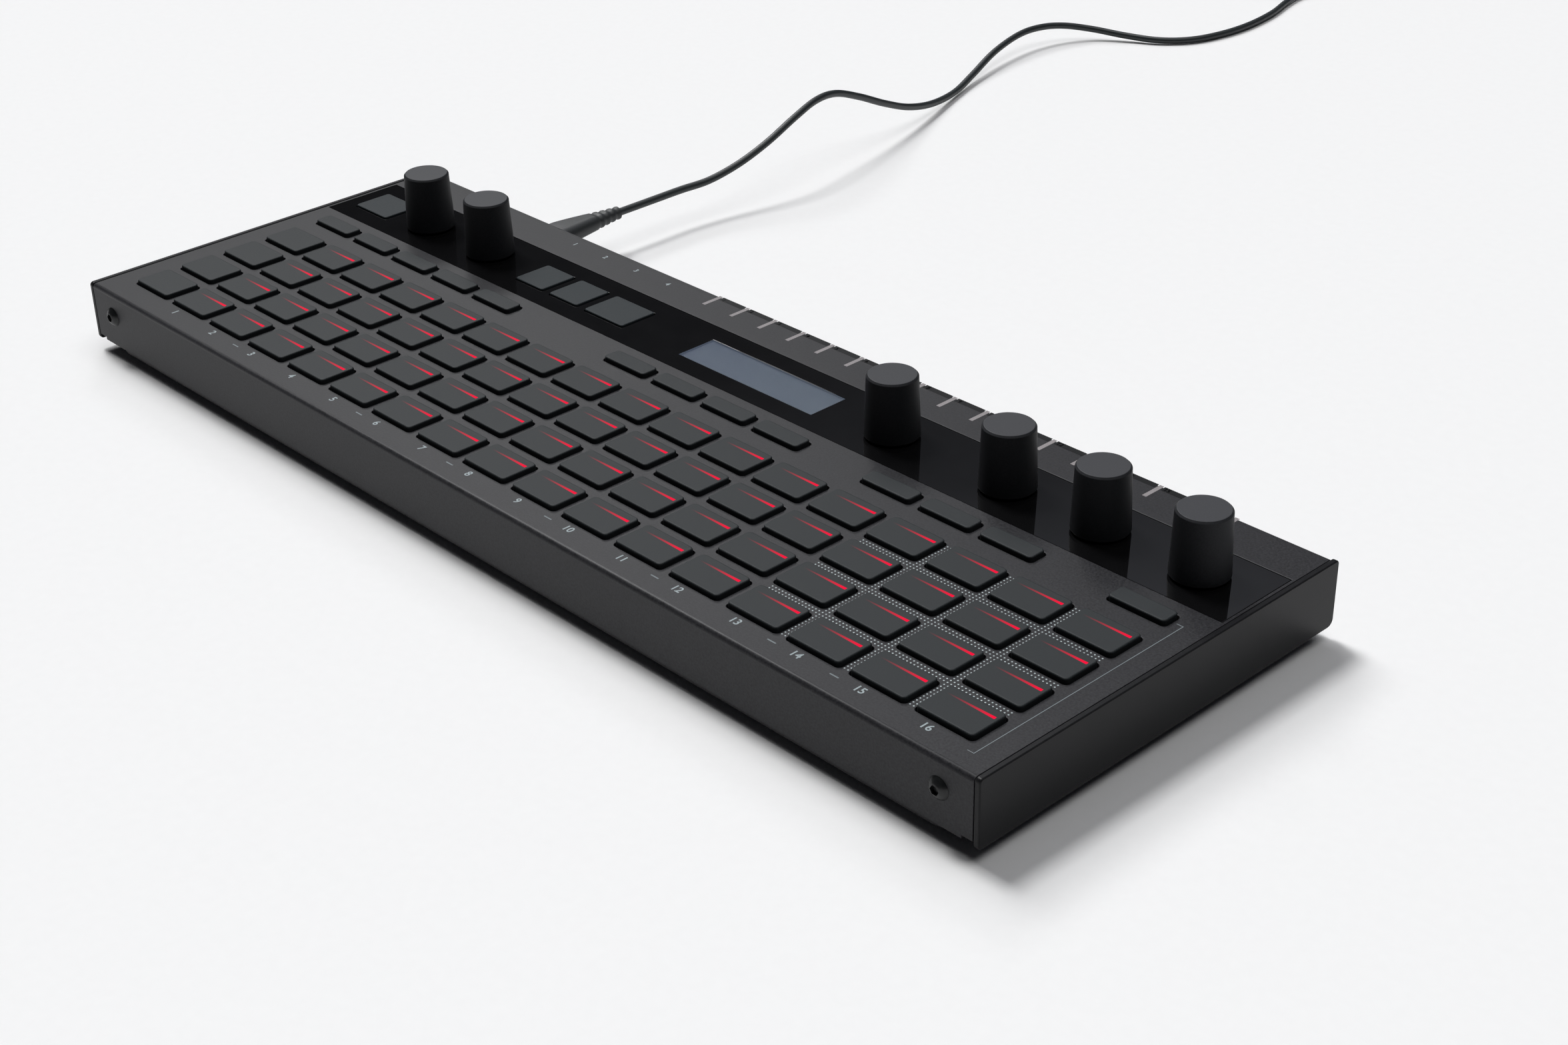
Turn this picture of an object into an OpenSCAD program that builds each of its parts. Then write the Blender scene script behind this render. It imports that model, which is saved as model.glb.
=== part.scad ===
// Desktop step sequencer: a folded sheet-metal case with two side cheeks and a base pan,
// four rows of silicone pads, a row of narrow buttons, and a gloss control panel with
// knobs, buttons and a display. Millimetres, origin under the middle of the case,
// X to the right, Y to the back, Z up.

/* [Case] */
// Width over the two side cheeks
case_w = 339.2; // [310:0.1:370]
// Depth of the case from front wall to rear wall
case_d = 118; // [108:1:130]
// Height of the top panel above the table
case_h = 20.3; // [19:0.1:24]
// Thickness of the folded cover
sheet_t = 1.2; // [1:0.1:1.4]
// Thickness of a side cheek and its flanges
cheek_t = 1.5; // [0.8:0.1:1.8]
// How far a cheek's top edge stands above the cover
cheek_proud = 0.15; // [0.05:0.05:0.4]
// Radius of a cheek's corners
cheek_r = 1; // [0.6:0.1:2]
// Radius of a cheek's rear bottom corner
cheek_rear_r = 2; // [1:0.5:6]
// How far a cheek reaches past the rear wall
cheek_back = 0.5; // [0:0.1:1]
// Reach of a cheek's flanges into the case
flange_reach = 21; // [18:1:24]
// Thickness of the base pan
pan_t = 1; // [0.8:0.1:1.2]
// How far the base pan's ends stay inside the case
pan_inset = 8; // [7:0.5:12]
// Radius of the base pan's corners
pan_r = 6; // [2:1:12]
// Height of the pan's front and rear lips above its floor
pan_lip = 2.4; // [1.5:0.1:2.6]
// Diameter of a rubber foot
foot_d = 12; // [8:1:16]
// Height of a rubber foot
foot_h = 2.2; // [2:0.1:3]

/* [Pads] */
// Pads in a row
pad_cols = 17; // [17]
// Rows of pads
pad_rows = 4; // [4]
// Distance from a side of the case to the middle of the outer pad column
side_margin = 18.24; // [16:0.02:20]
// Gap between neighbouring pads in a row
col_gap = 3.12; // [2.6:0.02:5]
// Gap between neighbouring rows of pads
row_gap = 3.7; // [2.6:0.1:5]
// Distance from the front edge to the middle of the first row
first_row = 14.35; // [12:0.05:16]
// Depth of a narrow button
narrow_d = 5.2; // [4.5:0.1:6]
// Distance from the last pad row to the narrow buttons
narrow_step = 15.05; // [14:0.05:15.5]
// Corner radius of pads and narrow buttons
key_r = 1; // [0.5:0.1:1.6]
// Radius along the top edges of pads and buttons
key_edge = 0.5; // [0.2:0.1:0.8]
// Gap between a pad and its hole
key_gap = 0.4; // [0.3:0.05:0.5]
// How far pads stand above the cover
key_proud = 1.2; // [0.8:0.1:2]
// How far a pad can be pressed
key_travel = 1.2; // [0.6:0.1:1.5]

/* [Control panel] */
// Distance from the narrow buttons to the control panel's opening
panel_dist = 7.2; // [6:0.1:10]
// Depth of the control panel's opening
opening_d = 25; // [24:0.5:28]
// Depth of the ledge behind the control panel's opening
ledge_d = 13.8; // [12.4:0.1:18]
// Rim of the cover at each side of the opening
opening_rim = 0.8; // [0.6:0.1:2]
// Gap between the control panel and its opening
panel_gap = 0.2; // [0.1:0.05:0.6]
// How far the control panel lies below the cover
panel_recess = 0.1; // [0.1:0.1:0.6]
// Thickness of the control panel
panel_t = 2; // [1.6:0.1:2.4]
// Depth of the panel buttons
button_d = 12; // [8:0.5:14]
// How far the panel buttons stand above the control panel
button_proud = 0.5; // [0.5:0.1:2]
// Width of the display's window
display_w = 50; // [40:0.5:52]
// Depth of the display's window
display_d = 12.4; // [8:0.1:14]
// Column over which the display's middle lies, counted from the first
display_col = 8.5; // [8:0.1:9]

/* [Knobs] */
// Diameter of a knob at its base
knob_base_d = 14.2; // [12:0.1:16]
// Diameter of a knob at its top
knob_top_d = 13; // [10:0.1:14]
// Height of a knob
knob_h = 16.3; // [12:0.1:20]
// Bevel round a knob's top
knob_bevel = 0.7; // [0.2:0.1:1]
// Gap between a knob and the control panel
knob_lift = 0.7; // [0.4:0.1:1.4]
// Diameter of an encoder shaft
shaft_d = 6; // [5:0.1:6.4]
// Running clearance of the shaft in its bush
shaft_gap = 0.05; // [0.02:0.01:0.1]
// Wall of the encoder's bush
bush_wall = 0.5; // [0.4:0.1:0.8]

/* [Rear] */
// Height of the jacks and the cord's plug above the table
jack_z = 11.7; // [11.4:0.1:12.2]
// Bore of a jack
jack_bore = 3.6; // [3.5:0.05:3.8]
// Depth of a jack's bore
jack_depth = 13; // [10:0.5:13.5]
// Distance from the short row of jacks to the long one
jack_dist = 22.5; // [20:0.5:26]
// Number of jacks in the long row
jack_count = 16; // [16]
// Spacing of the short row of jacks
side_jack_pitch = 13.5; // [12:0.5:14]
// Number of jacks in the short row
side_jack_count = 4; // [4]

/* [Cord] */
// Diameter of the cord
cord_d = 2.4; // [2.2:0.1:2.6]
// Turns of the put-away coil, counting both layers
coil_turns = 6.25; // [6.25]
// Gap between neighbouring turns
coil_gap = 0.5; // [0.45:0.05:0.6]
// Radius of the coil's innermost turn
coil_inner_r = 9.8; // [9.6:0.1:11]

/* [Hidden] */
$fn = 32;
front_y = -case_d / 2;
rear_y = case_d / 2;
// How far a cut runs past the face that it opens
over = 1;
// Thickness of a slice that only shapes a blend
slice = 0.01;

// Heights from the table up
pan_z = foot_h;
pan_top = pan_z + pan_t;
cheek_z = pan_top;
flange_top = cheek_z + cheek_t;
wall_lift = 0.8;
wall_z = cheek_z + wall_lift;
under_cover = case_h - sheet_t;
panel_top = case_h - panel_recess;
panel_under = panel_top - panel_t;
key_top = case_h + key_proud;
cover_gap = 0.3;
key_flange_t = 1.2;
key_flange_top = under_cover - cover_gap;
key_flange_z = key_flange_top - key_flange_t;
key_post = 2;
key_post_z = key_flange_z - key_post;
dome_gap = 0.1;
dome_top = key_post_z - dome_gap;
dome_stop = 1.5;
dome_h = key_travel + dome_stop;
mat_t = 0.8;
board_t = 1.6;
board_top = dome_top - dome_h - mat_t;
board_z = board_top - board_t;

// Cover and cheeks
seam = 0.15;
cheek_inner = case_w / 2 - cheek_t;
cover_half = cheek_inner - seam;
wall_in_y = rear_y - sheet_t;
flange_clear = 0.5;
flange_end = 5;
flange_x = cheek_inner - flange_reach + cheek_t;
notch_w = 3;
notch_h = 0.8;
pan_half = case_w / 2 - pan_inset;
pan_gap = 0.1;
pan_y = wall_in_y - pan_gap;

// Screws: button heads in the front wall, pan heads inside and under the case
screw_d = 3;
hole_gap = 0.1;
screw_hole = screw_d + 2 * hole_gap;
thread_gap = 0.02;
shank_d = screw_d - 2 * thread_gap;
front_screw_in = 11;
front_screw_x = case_w / 2 - front_screw_in;
front_screw_z = 13.1;
front_head_d = 5.6;
front_head_h = 1.5;
front_screw_l = 6;
screw_tip_gap = 0.6;
hex_key = 2;
hex_depth = 1;
chassis_head_d = 5.2;
chassis_head_h = 1.5;
chassis_screw_l = 4;
cross_w = 0.8;
cross_l = 2.8;
cross_depth = 0.7;
foot_in = 34;
foot_y = 14;
foot_edge = 0.5;
pan_screw_in = 15;
pan_screw_y = case_d / 2 - pan_screw_in;
pan_screw_x = (flange_x + pan_half) / 2;

// Pads and narrow buttons
col_pitch = (case_w - 2 * side_margin) / (pad_cols - 1);
rows_d = case_d - first_row - narrow_step - panel_dist - opening_d - ledge_d;
row_pitch = rows_d / (pad_rows - 1);
pad_w = col_pitch - col_gap;
pad_d = row_pitch - row_gap;
key_hole_w = pad_w + 2 * key_gap;
key_hole_r = key_r + key_gap / 2;
key_lap = 0.5;
middle_col = (pad_cols - 1) / 2;
half_cols = middle_col;
narrow_cols = [0, 1, 2, 3, 4, 7, 8, 9, 10, 12, 13, 14, 16];
narrow_y = front_y + first_row + rows_d + narrow_step;
key_post_d = 4;
dome_d = 8;
dome_tip_d = 4.6;
narrow_dome_d = 5;
narrow_post_d = 3;
narrow_tip_d = 3.4;

// Control panel, its buttons, display and encoders, which stand over the pad columns or between them
panel_half = cover_half - opening_rim - panel_gap;
opening_front = narrow_y + panel_dist;
opening_rear = opening_front + opening_d;
panel_mid_y = (opening_front + opening_rear) / 2;
panel_lap = 1.6;
button_cols = [-0.17, 3.83, 4.62, 5.53];
button_x = [for (j = button_cols) col_x(j)];
button_w = [15, 12, 12, 16];
button_gap = 0.3;
button_r = 0.8;
button_top = panel_top + button_proud;
button_flange_t = 1;
button_flange_top = panel_under - cover_gap;
button_flange_z = button_flange_top - button_flange_t;
button_lap = 0.6;
knob_cols = [1, 2.5, 11, 13, 14.5, 16];
knob_x = [for (j = knob_cols) col_x(j)];
knob_z = panel_top + knob_lift;
knob_top = knob_z + knob_h;
knob_wall = 1.3;
knob_hub_wall = 1.5;
knob_hub_lift = 0.4;
knob_cavity = 4.5;
knob_bore_gap = 0.03;
knob_cap = 4.1;
shaft_end_gap = 0.4;
shaft_top = knob_top - knob_cap - shaft_end_gap;
shaft_flat = 0.7;
encoder_w = 12;
encoder_d = 12.6;
encoder_top = panel_under - cover_gap;
encoder_floor = 1;
bush_root = 1;
bush_sink = 0.2;
bush_d = shaft_d + 2 * shaft_gap + 2 * bush_wall;
bush_top = panel_top - bush_sink;
bush_gap = 0.3;
lens_gap = 0.1;
lens_t = 1;
lens_sink = 0.05;
glass_gap = 0.05;
display_lap = 4;
display_tail = 3;
display_leg = 2;
display_seat = 0.5;
display_x = col_x(display_col);
post_d = 4;
post_cols = [3.24, 12];
post_x = [for (j = post_cols) col_x(j)];
post_dy = 7.5;

// Boards and what holds them
board_side = 6;
board_half = case_w / 2 - board_side;
board_front = front_y + front_screw_l + screw_tip_gap;
board_short = 3;
board_rear = opening_rear - board_short;
standoff_d = 5;
standoff_back = 5;
pad_corner_y = front_y + first_row + row_pitch / 2;
standoff_rear_y = panel_mid_y + standoff_back;
standoff_cols = [0.5, 8.5, 15.5];
standoff_rear_cols = [1.84, 6.47, 15.25];
standoffs = [
    for (j = standoff_cols) [col_x(j), pad_corner_y],
    for (j = standoff_rear_cols) [col_x(j), standoff_rear_y]
];
mat_half = middle_col * col_pitch + key_hole_w / 2;
mat_front = front_y + first_row - pad_d / 2;
mat_edge = 1;
mat_rear = board_rear - mat_edge;
mat_clear = 1;

// Jacks, their board and the plug's socket
jack_w = 9;
jack_half_h = 3.5;
jack_body_front = 12.2;
jack_wall_gap = 0.5;
sleeve_d = 6;
sleeve_gap = 0.2;
sleeve_hole = sleeve_d + 2 * sleeve_gap;
sleeve_root = 2;
nut_d = 8;
nut_t = 1.5;
nut_gap = 0.05;
jack_board_top = jack_z - jack_half_h;
jack_board_gap = 1.2;
jack_board_d = 13;
jack_board_rear = wall_in_y - jack_board_gap;
jack_board_front = jack_board_rear - jack_board_d;
jack_board_end = 11;
plug_x = -117;
plug_dist = 25.5;
jack_board_left = plug_x - jack_board_end;
jack_board_right = flange_x - jack_board_gap;
side_jack_x = plug_x + plug_dist;
jack_first_x = side_jack_x + (side_jack_count - 1) * side_jack_pitch + jack_dist;
jack_last_in = 10.9;
jack_last_x = jack_board_right - jack_last_in;
jack_pitch = (jack_last_x - jack_first_x) / (jack_count - 1);
jack_x = concat(
    [for (i = [0 : side_jack_count - 1]) side_jack_x + i * side_jack_pitch],
    [for (i = [0 : jack_count - 1]) jack_first_x + i * jack_pitch]
);
jack_standoff_in = 2.7;
jack_standoff_x = [
    (plug_x + side_jack_x) / 2, jack_first_x - jack_dist / 2, jack_board_right - jack_standoff_in
];
jack_standoff_y = jack_board_front + jack_standoff_in;
socket_w = 9;
socket_h = 3.3;
socket_l = 7.3;
socket_wall = 0.3;
socket_leg = 1;
plug_hole_gap = 0.4;

// The plug in its socket, with its moulded body and strain relief
plug_gap = 0.15;
plug_tip_w = socket_w - 2 * (socket_wall + plug_gap);
plug_tip_h = socket_h - 2 * (socket_wall + plug_gap);
plug_tip_l = 6;
plug_body_w = 10.5;
plug_body_h = 5.5;
plug_body_l = 9;
plug_wall_gap = 0.8;
relief_end_d = 4;
relief_end_y = 91;
relief_collar = 2;

// The cord's route from the strain relief to the coil
cord_route = [
    [-117, 91, 11.7], [-117, 98, 11.7], [-117, 107, 11.7], [-117, 117, 11.7], [-116, 128, 12],
    [-115, 140, 14.5], [-114.5, 152, 18.5], [-115.5, 165, 23], [-118, 177, 25], [-120, 188, 24],
    [-121, 200, 19.5], [-122, 213, 13.5], [-124, 227, 8], [-128, 243, 4], [-134, 261, 2],
    [-140, 277, 3], [-146, 295, 5.5], [-149.5, 312, 7], [-149.5, 324, 7], [-146.5, 334, 6],
    [-140, 343, 4], [-129, 350, 2.2], [-118, 356, 1.5], [-110, 365, 1.4], [-106, 378, 1.4],
    [-105, 393, 1.4], [-107, 410, 1.4], [-111, 425, 1.6], [-113, 436, 1.8], [-113, 446, 1.8]
];
cord_steps = 2;
cord_sides = 8;

// The coil lies on its tie, and the far plug beside it
tie_t = 0.5;
tie_w = 4;
tie_gap = 0.1;
tie_side_gap = 0.5;
tie_angle = 270;
coil_pitch = cord_d + coil_gap;
coil_mid = 360 * coil_turns / 2;
coil_outer_r = coil_inner_r + coil_pitch * coil_turns / 2;
coil_start = cord_route[len(cord_route) - 1];
coil_lead = cord_d;
coil_x = coil_start.x - coil_outer_r;
coil_y = coil_start.y + coil_lead;
coil_low = coil_start.z;
coil_high = coil_low + coil_pitch;
coil_out = 8;
coil_loop_rings = 24;
coil_sides = 6;
far_x = coil_x - coil_out;
far_y = coil_y + coil_outer_r;
far_relief_l = 10;
far_body_l = 22;
far_body_w = 15.6;
far_lift = 0.1;
far_body_h = 2 * (coil_high - far_lift);
far_body_r = 2;
far_relief_d = 7.36;
far_shell_r = 0.5;
far_shell_l = 12;
far_shell_w = 12;
far_shell_h = 4.5;

sheet_grey = [0.17, 0.17, 0.18];
pad_grey = [0.2, 0.21, 0.22];
black = [0.05, 0.05, 0.055];
steel = [0.7, 0.7, 0.72];

function col_x(j) = (j - middle_col) * col_pitch;
function row_y(r) = front_y + first_row + r * row_pitch;

// Rectangle about the origin with round corners
module round_rect(w, d, r) {
    square([w, d - 2 * r], center = true);
    square([w - 2 * r, d], center = true);
    for (x = [-1, 1], y = [-1, 1])
        translate([x * (w / 2 - r), y * (d / 2 - r)]) circle(r);
}

// What a corner of radius r loses, with the corner at the origin and the shape in the first quadrant
module corner_waste(r) {
    difference() {
        translate([-over, -over]) square(r + over);
        translate([r, r]) circle(r);
    }
}

module block(x0, x1, y0, y1, z0, z1) {
    translate([x0, y0, z0]) cube([x1 - x0, y1 - y0, z1 - z0]);
}

// Stands a shape drawn in Y and Z up, and extrudes it from x0 to x1
module along_x(x0, x1) {
    translate([x0, 0, 0]) rotate([90, 0, 90]) linear_extrude(x1 - x0) children();
}

// Stands a shape drawn in X and Z up, and extrudes it from y0 to y1
module along_y(y0, y1) {
    translate([0, y1, 0]) rotate([90, 0, 0]) linear_extrude(y1 - y0) children();
}

// Cylinder that runs along Y
module rod_y(x, z, y0, y1, d) {
    translate([x, y0, z]) rotate([-90, 0, 0]) cylinder(d = d, h = y1 - y0);
}

module rod_z(x, y, z0, z1, d) {
    translate([x, y, z0]) cylinder(d = d, h = z1 - z0);
}

// Folded cover: front wall, top and rear wall in one sheet
module cover_channel() {
    along_x(-cover_half, cover_half) difference() {
        translate([front_y, wall_z]) square([case_d, case_h - wall_z]);
        translate([front_y + sheet_t, wall_z - over])
            square([case_d - 2 * sheet_t, under_cover - wall_z + over]);
        translate([front_y, case_h]) mirror([0, 1]) corner_waste(sheet_t);
        translate([rear_y, case_h]) rotate(180) corner_waste(sheet_t);
    }
}

module key_holes() {
    for (j = [0 : pad_cols - 1], r = [0 : pad_rows - 1])
        translate([col_x(j), row_y(r)]) round_rect(key_hole_w, pad_d + 2 * key_gap, key_hole_r);
    for (j = narrow_cols)
        translate([col_x(j), narrow_y]) round_rect(key_hole_w, narrow_d + 2 * key_gap, key_hole_r);
}

module top_cover() {
    color(sheet_grey) difference() {
        cover_channel();
        translate([0, 0, under_cover - over]) linear_extrude(sheet_t + 2 * over) key_holes();
        block(-cover_half + opening_rim, cover_half - opening_rim, opening_front, opening_rear,
            under_cover - over, case_h + over);
        for (s = [-1, 1]) {
            rod_y(s * front_screw_x, front_screw_z, front_y - over, front_y + sheet_t + over, screw_hole);
            translate([s * cover_half, front_y, wall_z])
                cube([2 * notch_w, 3 * sheet_t, 2 * notch_h], center = true);
        }
        for (x = jack_x) rod_y(x, jack_z, wall_in_y - over, rear_y + over, sleeve_hole);
        translate([plug_x, 0, jack_z]) along_y(wall_in_y - over, rear_y + over)
            round_rect(socket_w + plug_hole_gap, socket_h + plug_hole_gap, socket_h / 2);
    }
}

// Side plate with flanges behind the front wall, behind the rear wall and over the base pan
module cheek() {
    top = case_h + cheek_proud;
    back = rear_y + cheek_back;
    color(sheet_grey) difference() {
        union() {
            along_x(cheek_inner, case_w / 2) difference() {
                translate([front_y, cheek_z]) square([back - front_y, top - cheek_z]);
                translate([front_y, cheek_z]) corner_waste(cheek_r);
                translate([front_y, top]) mirror([0, 1]) corner_waste(cheek_r);
                translate([back, top]) rotate(180) corner_waste(cheek_r);
                translate([back, cheek_z]) mirror([1, 0]) corner_waste(cheek_rear_r);
            }
            for (y = [front_y + sheet_t, wall_in_y - cheek_t])
                block(flange_x, cheek_inner, y, y + cheek_t,
                    pan_top + pan_lip + flange_clear, under_cover - flange_clear);
            block(flange_x, cheek_inner, front_y + flange_end, rear_y - flange_end, cheek_z, flange_top);
        }
        rod_y(front_screw_x, front_screw_z, front_y, front_y + front_screw_l, screw_d);
        for (y = [-pan_screw_y, 0, pan_screw_y])
            rod_z(pan_screw_x, y, cheek_z - over, flange_top + over, screw_d);
    }
}

module right_cheek() cheek();

module left_cheek() mirror([1, 0, 0]) cheek();

// Shallow tray with front and rear lips, and the pressed-in standoffs that carry the boards
module base_pan() {
    color(sheet_grey) difference() {
        union() {
            intersection() {
                along_x(-pan_half, pan_half) {
                    translate([-pan_y, pan_z]) square([2 * pan_y, pan_t]);
                    for (y = [-pan_y, pan_y - pan_t])
                        translate([y, pan_z]) square([pan_t, pan_t + pan_lip]);
                }
                translate([0, 0, pan_z - over]) linear_extrude(pan_t + pan_lip + 2 * over)
                    round_rect(2 * pan_half, 2 * pan_y, pan_r);
            }
            for (p = standoffs) rod_z(p.x, p.y, pan_top - pan_t / 2, board_z, standoff_d);
            for (x = jack_standoff_x)
                rod_z(x, jack_standoff_y, pan_top - pan_t / 2, jack_board_top - board_t, standoff_d);
        }
        for (p = standoffs) rod_z(p.x, p.y, board_z - chassis_screw_l, board_z + over, screw_d);
        for (x = jack_standoff_x)
            rod_z(x, jack_standoff_y, jack_board_top - chassis_screw_l - screw_tip_gap,
                jack_board_top, screw_d);
        for (s = [-1, 1], y = [-pan_screw_y, 0, pan_screw_y])
            rod_z(s * pan_screw_x, y, pan_z - over, pan_top + over, screw_hole);
    }
}

module feet() {
    color(black) for (x = [-1, 1], y = [-1, 1])
        translate([x * (case_w / 2 - foot_in), y * (case_d / 2 - foot_y), 0]) rotate_extrude() {
            square([foot_d / 2 - foot_edge, foot_h]);
            translate([0, foot_edge]) square([foot_d / 2, foot_h - foot_edge]);
            translate([foot_d / 2 - foot_edge, foot_edge]) circle(foot_edge);
        }
}

// Button-head screws with a hex socket, through the front wall into the cheeks
module front_screws() {
    dome_r = (pow(front_head_d / 2, 2) + pow(front_head_h, 2)) / (2 * front_head_h);
    color(black) for (s = [-1, 1])
        translate([s * front_screw_x, front_y, front_screw_z]) rotate([90, 0, 0]) difference() {
            union() {
                intersection() {
                    cylinder(d = front_head_d, h = front_head_h);
                    translate([0, 0, front_head_h - dome_r]) sphere(dome_r);
                }
                translate([0, 0, -front_screw_l]) cylinder(d = shank_d, h = front_screw_l);
            }
            translate([0, 0, front_head_h - hex_depth])
                cylinder(d = hex_key / cos(30), h = hex_depth + over, $fn = 6);
        }
}

// Pan-head screw with a cross recess, its head up and its seat at the origin
module chassis_screw() {
    difference() {
        union() {
            cylinder(d = chassis_head_d, h = chassis_head_h);
            translate([0, 0, -chassis_screw_l]) cylinder(d = shank_d, h = chassis_screw_l);
        }
        for (a = [0, 90])
            rotate(a) translate([0, 0, chassis_head_h])
                cube([cross_l, cross_w, 2 * cross_depth], center = true);
    }
}

module chassis_screws() {
    color(black) {
        for (p = standoffs) translate([p.x, p.y, board_top]) chassis_screw();
        for (x = jack_standoff_x) translate([x, jack_standoff_y, jack_board_top]) chassis_screw();
        for (s = [-1, 1], y = [-pan_screw_y, 0, pan_screw_y])
            translate([s * pan_screw_x, y, pan_z]) mirror([0, 0, 1]) chassis_screw();
    }
}

// Gloss insert with laps under the cover, and posts down to the board
module control_panel() {
    panel_d = opening_d - 2 * panel_gap;
    color(black) difference() {
        union() {
            translate([0, panel_mid_y, panel_under]) linear_extrude(panel_t)
                square([2 * panel_half, panel_d], center = true);
            translate([0, panel_mid_y, panel_under]) linear_extrude(under_cover - panel_under)
                square([2 * panel_half, opening_d + 2 * panel_lap], center = true);
            for (x = post_x, y = [-post_dy, post_dy])
                rod_z(x, panel_mid_y + y, board_top, panel_under + panel_t / 2, post_d);
        }
        translate([0, panel_mid_y, panel_under - over]) linear_extrude(panel_t + 2 * over) {
            for (i = [0 : len(button_x) - 1])
                translate([button_x[i], 0]) round_rect(
                    button_w[i] + 2 * button_gap, button_d + 2 * button_gap, button_r + button_gap
                );
            translate([display_x, 0]) square([display_w, display_d], center = true);
            for (x = knob_x) translate([x, 0]) circle(d = bush_d + 2 * bush_gap);
        }
    }
}

module display_lens() {
    w = display_w - 2 * lens_gap;
    d = display_d - 2 * lens_gap;
    color([0.5, 0.55, 0.6, 0.4])
        block(display_x - w / 2, display_x + w / 2, panel_mid_y - d / 2, panel_mid_y + d / 2,
            panel_top - lens_sink - lens_t, panel_top - lens_sink);
}

module display_module() {
    w = display_w - 2 * lens_gap;
    d = display_d - 2 * lens_gap;
    glass_top = panel_top - lens_sink - lens_t - glass_gap;
    color([0.45, 0.5, 0.6]) {
        block(display_x - w / 2, display_x + w / 2, panel_mid_y - d / 2, panel_mid_y + d / 2,
            panel_under - display_seat, glass_top);
        block(display_x - w / 2 - display_lap, display_x + w / 2 + display_lap,
            panel_mid_y - d / 2 - display_lap, panel_mid_y + d / 2 + display_lap,
            board_top + display_tail, panel_under);
        for (s = [-1, 1])
            translate([display_x + s * w / 2, panel_mid_y, board_top])
                linear_extrude(display_tail + display_seat) square(display_leg, center = true);
    }
}

module panel_board() {
    color([0.05, 0.25, 0.12]) difference() {
        block(-board_half, board_half, board_front, board_rear, board_z, board_top);
        for (p = standoffs) rod_z(p.x, p.y, board_z - over, board_top + over, screw_hole);
    }
}

module jack_board() {
    color([0.05, 0.25, 0.12]) difference() {
        block(jack_board_left, jack_board_right, jack_board_front, jack_board_rear,
            jack_board_top - board_t, jack_board_top);
        for (x = jack_standoff_x)
            rod_z(x, jack_standoff_y, jack_board_top - board_t - over, jack_board_top + over, screw_hole);
    }
}

// Silicone sheet on the board, with a collapsing dome under every pad and button
module dome_mat() {
    mat_top = board_top + mat_t;
    button_dome_h = button_flange_z - dome_gap - mat_top;
    color([0.75, 0.75, 0.72]) {
        difference() {
            block(-mat_half, mat_half, mat_front, mat_rear, board_top, mat_top);
            for (p = standoffs)
                rod_z(p.x, p.y, board_top - over, mat_top + over, chassis_head_d + 2 * mat_clear);
            for (x = post_x, y = [-post_dy, post_dy])
                rod_z(x, panel_mid_y + y, board_top - over, mat_top + over, post_d + 2 * mat_clear);
            for (x = knob_x)
                block(x - encoder_w / 2 - mat_clear, x + encoder_w / 2 + mat_clear,
                    panel_mid_y - encoder_d / 2 - mat_clear, panel_mid_y + encoder_d / 2 + mat_clear,
                    board_top - over, mat_top + over);
            for (s = [-1, 1])
                rod_z(display_x + s * (display_w / 2 - lens_gap), panel_mid_y,
                    board_top - over, mat_top + over, display_leg * sqrt(2) + 2 * mat_clear);
        }
        for (j = [0 : pad_cols - 1], r = [0 : pad_rows - 1])
            translate([col_x(j), row_y(r), mat_top - mat_t / 2])
                cylinder(d1 = dome_d, d2 = dome_tip_d, h = dome_h + mat_t / 2);
        for (j = narrow_cols)
            translate([col_x(j), narrow_y, mat_top - mat_t / 2])
                cylinder(d1 = narrow_dome_d, d2 = narrow_tip_d, h = dome_h + mat_t / 2);
        for (x = button_x)
            translate([x, panel_mid_y, mat_top - mat_t / 2])
                cylinder(d1 = dome_d, d2 = dome_tip_d, h = button_dome_h + mat_t / 2);
    }
}

// Rotary encoders on the board, with a bush that passes through the control panel
module encoders() {
    color(steel) for (x = knob_x) translate([x, panel_mid_y, 0]) difference() {
        union() {
            block(-encoder_w / 2, encoder_w / 2, -encoder_d / 2, encoder_d / 2, board_top, encoder_top);
            rod_z(0, 0, encoder_top - bush_root, bush_top, bush_d);
        }
        rod_z(0, 0, board_top + encoder_floor, bush_top + over, shaft_d + 2 * shaft_gap);
    }
}

// Part of a round shaft that its flat takes away
module shaft_flat_cut(gap) {
    translate([shaft_d / 2 - shaft_flat + gap, -shaft_d, knob_z]) cube([shaft_d, 2 * shaft_d, knob_h]);
}

module shaft(i) {
    color(steel) translate([knob_x[i], panel_mid_y, 0]) difference() {
        rod_z(0, 0, board_top + encoder_floor + shaft_end_gap, shaft_top, shaft_d);
        shaft_flat_cut(0);
    }
}

// Tapered knob with a hollow skirt and a hub that grips the shaft's flat
module knob(i) {
    bore_r = shaft_d / 2 + knob_bore_gap;
    hub_r = bore_r + knob_hub_wall;
    top_r = knob_top_d / 2;
    base_r = knob_base_d / 2;
    bore_top = shaft_top + shaft_end_gap;
    color(black) translate([knob_x[i], panel_mid_y, 0]) {
        rotate_extrude($fn = 64) polygon([
            [bore_r, knob_z + knob_hub_lift], [hub_r, knob_z + knob_hub_lift], [hub_r, knob_z + knob_cavity],
            [base_r - knob_wall, knob_z + knob_cavity], [base_r - knob_wall, knob_z], [base_r, knob_z],
            [top_r, knob_top - knob_bevel], [top_r - knob_bevel, knob_top], [0, knob_top],
            [0, bore_top], [bore_r, bore_top]
        ]);
        intersection() {
            rod_z(0, 0, knob_z + knob_hub_lift, bore_top, 2 * bore_r + knob_hub_wall);
            shaft_flat_cut(knob_bore_gap);
        }
    }
}

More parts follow.
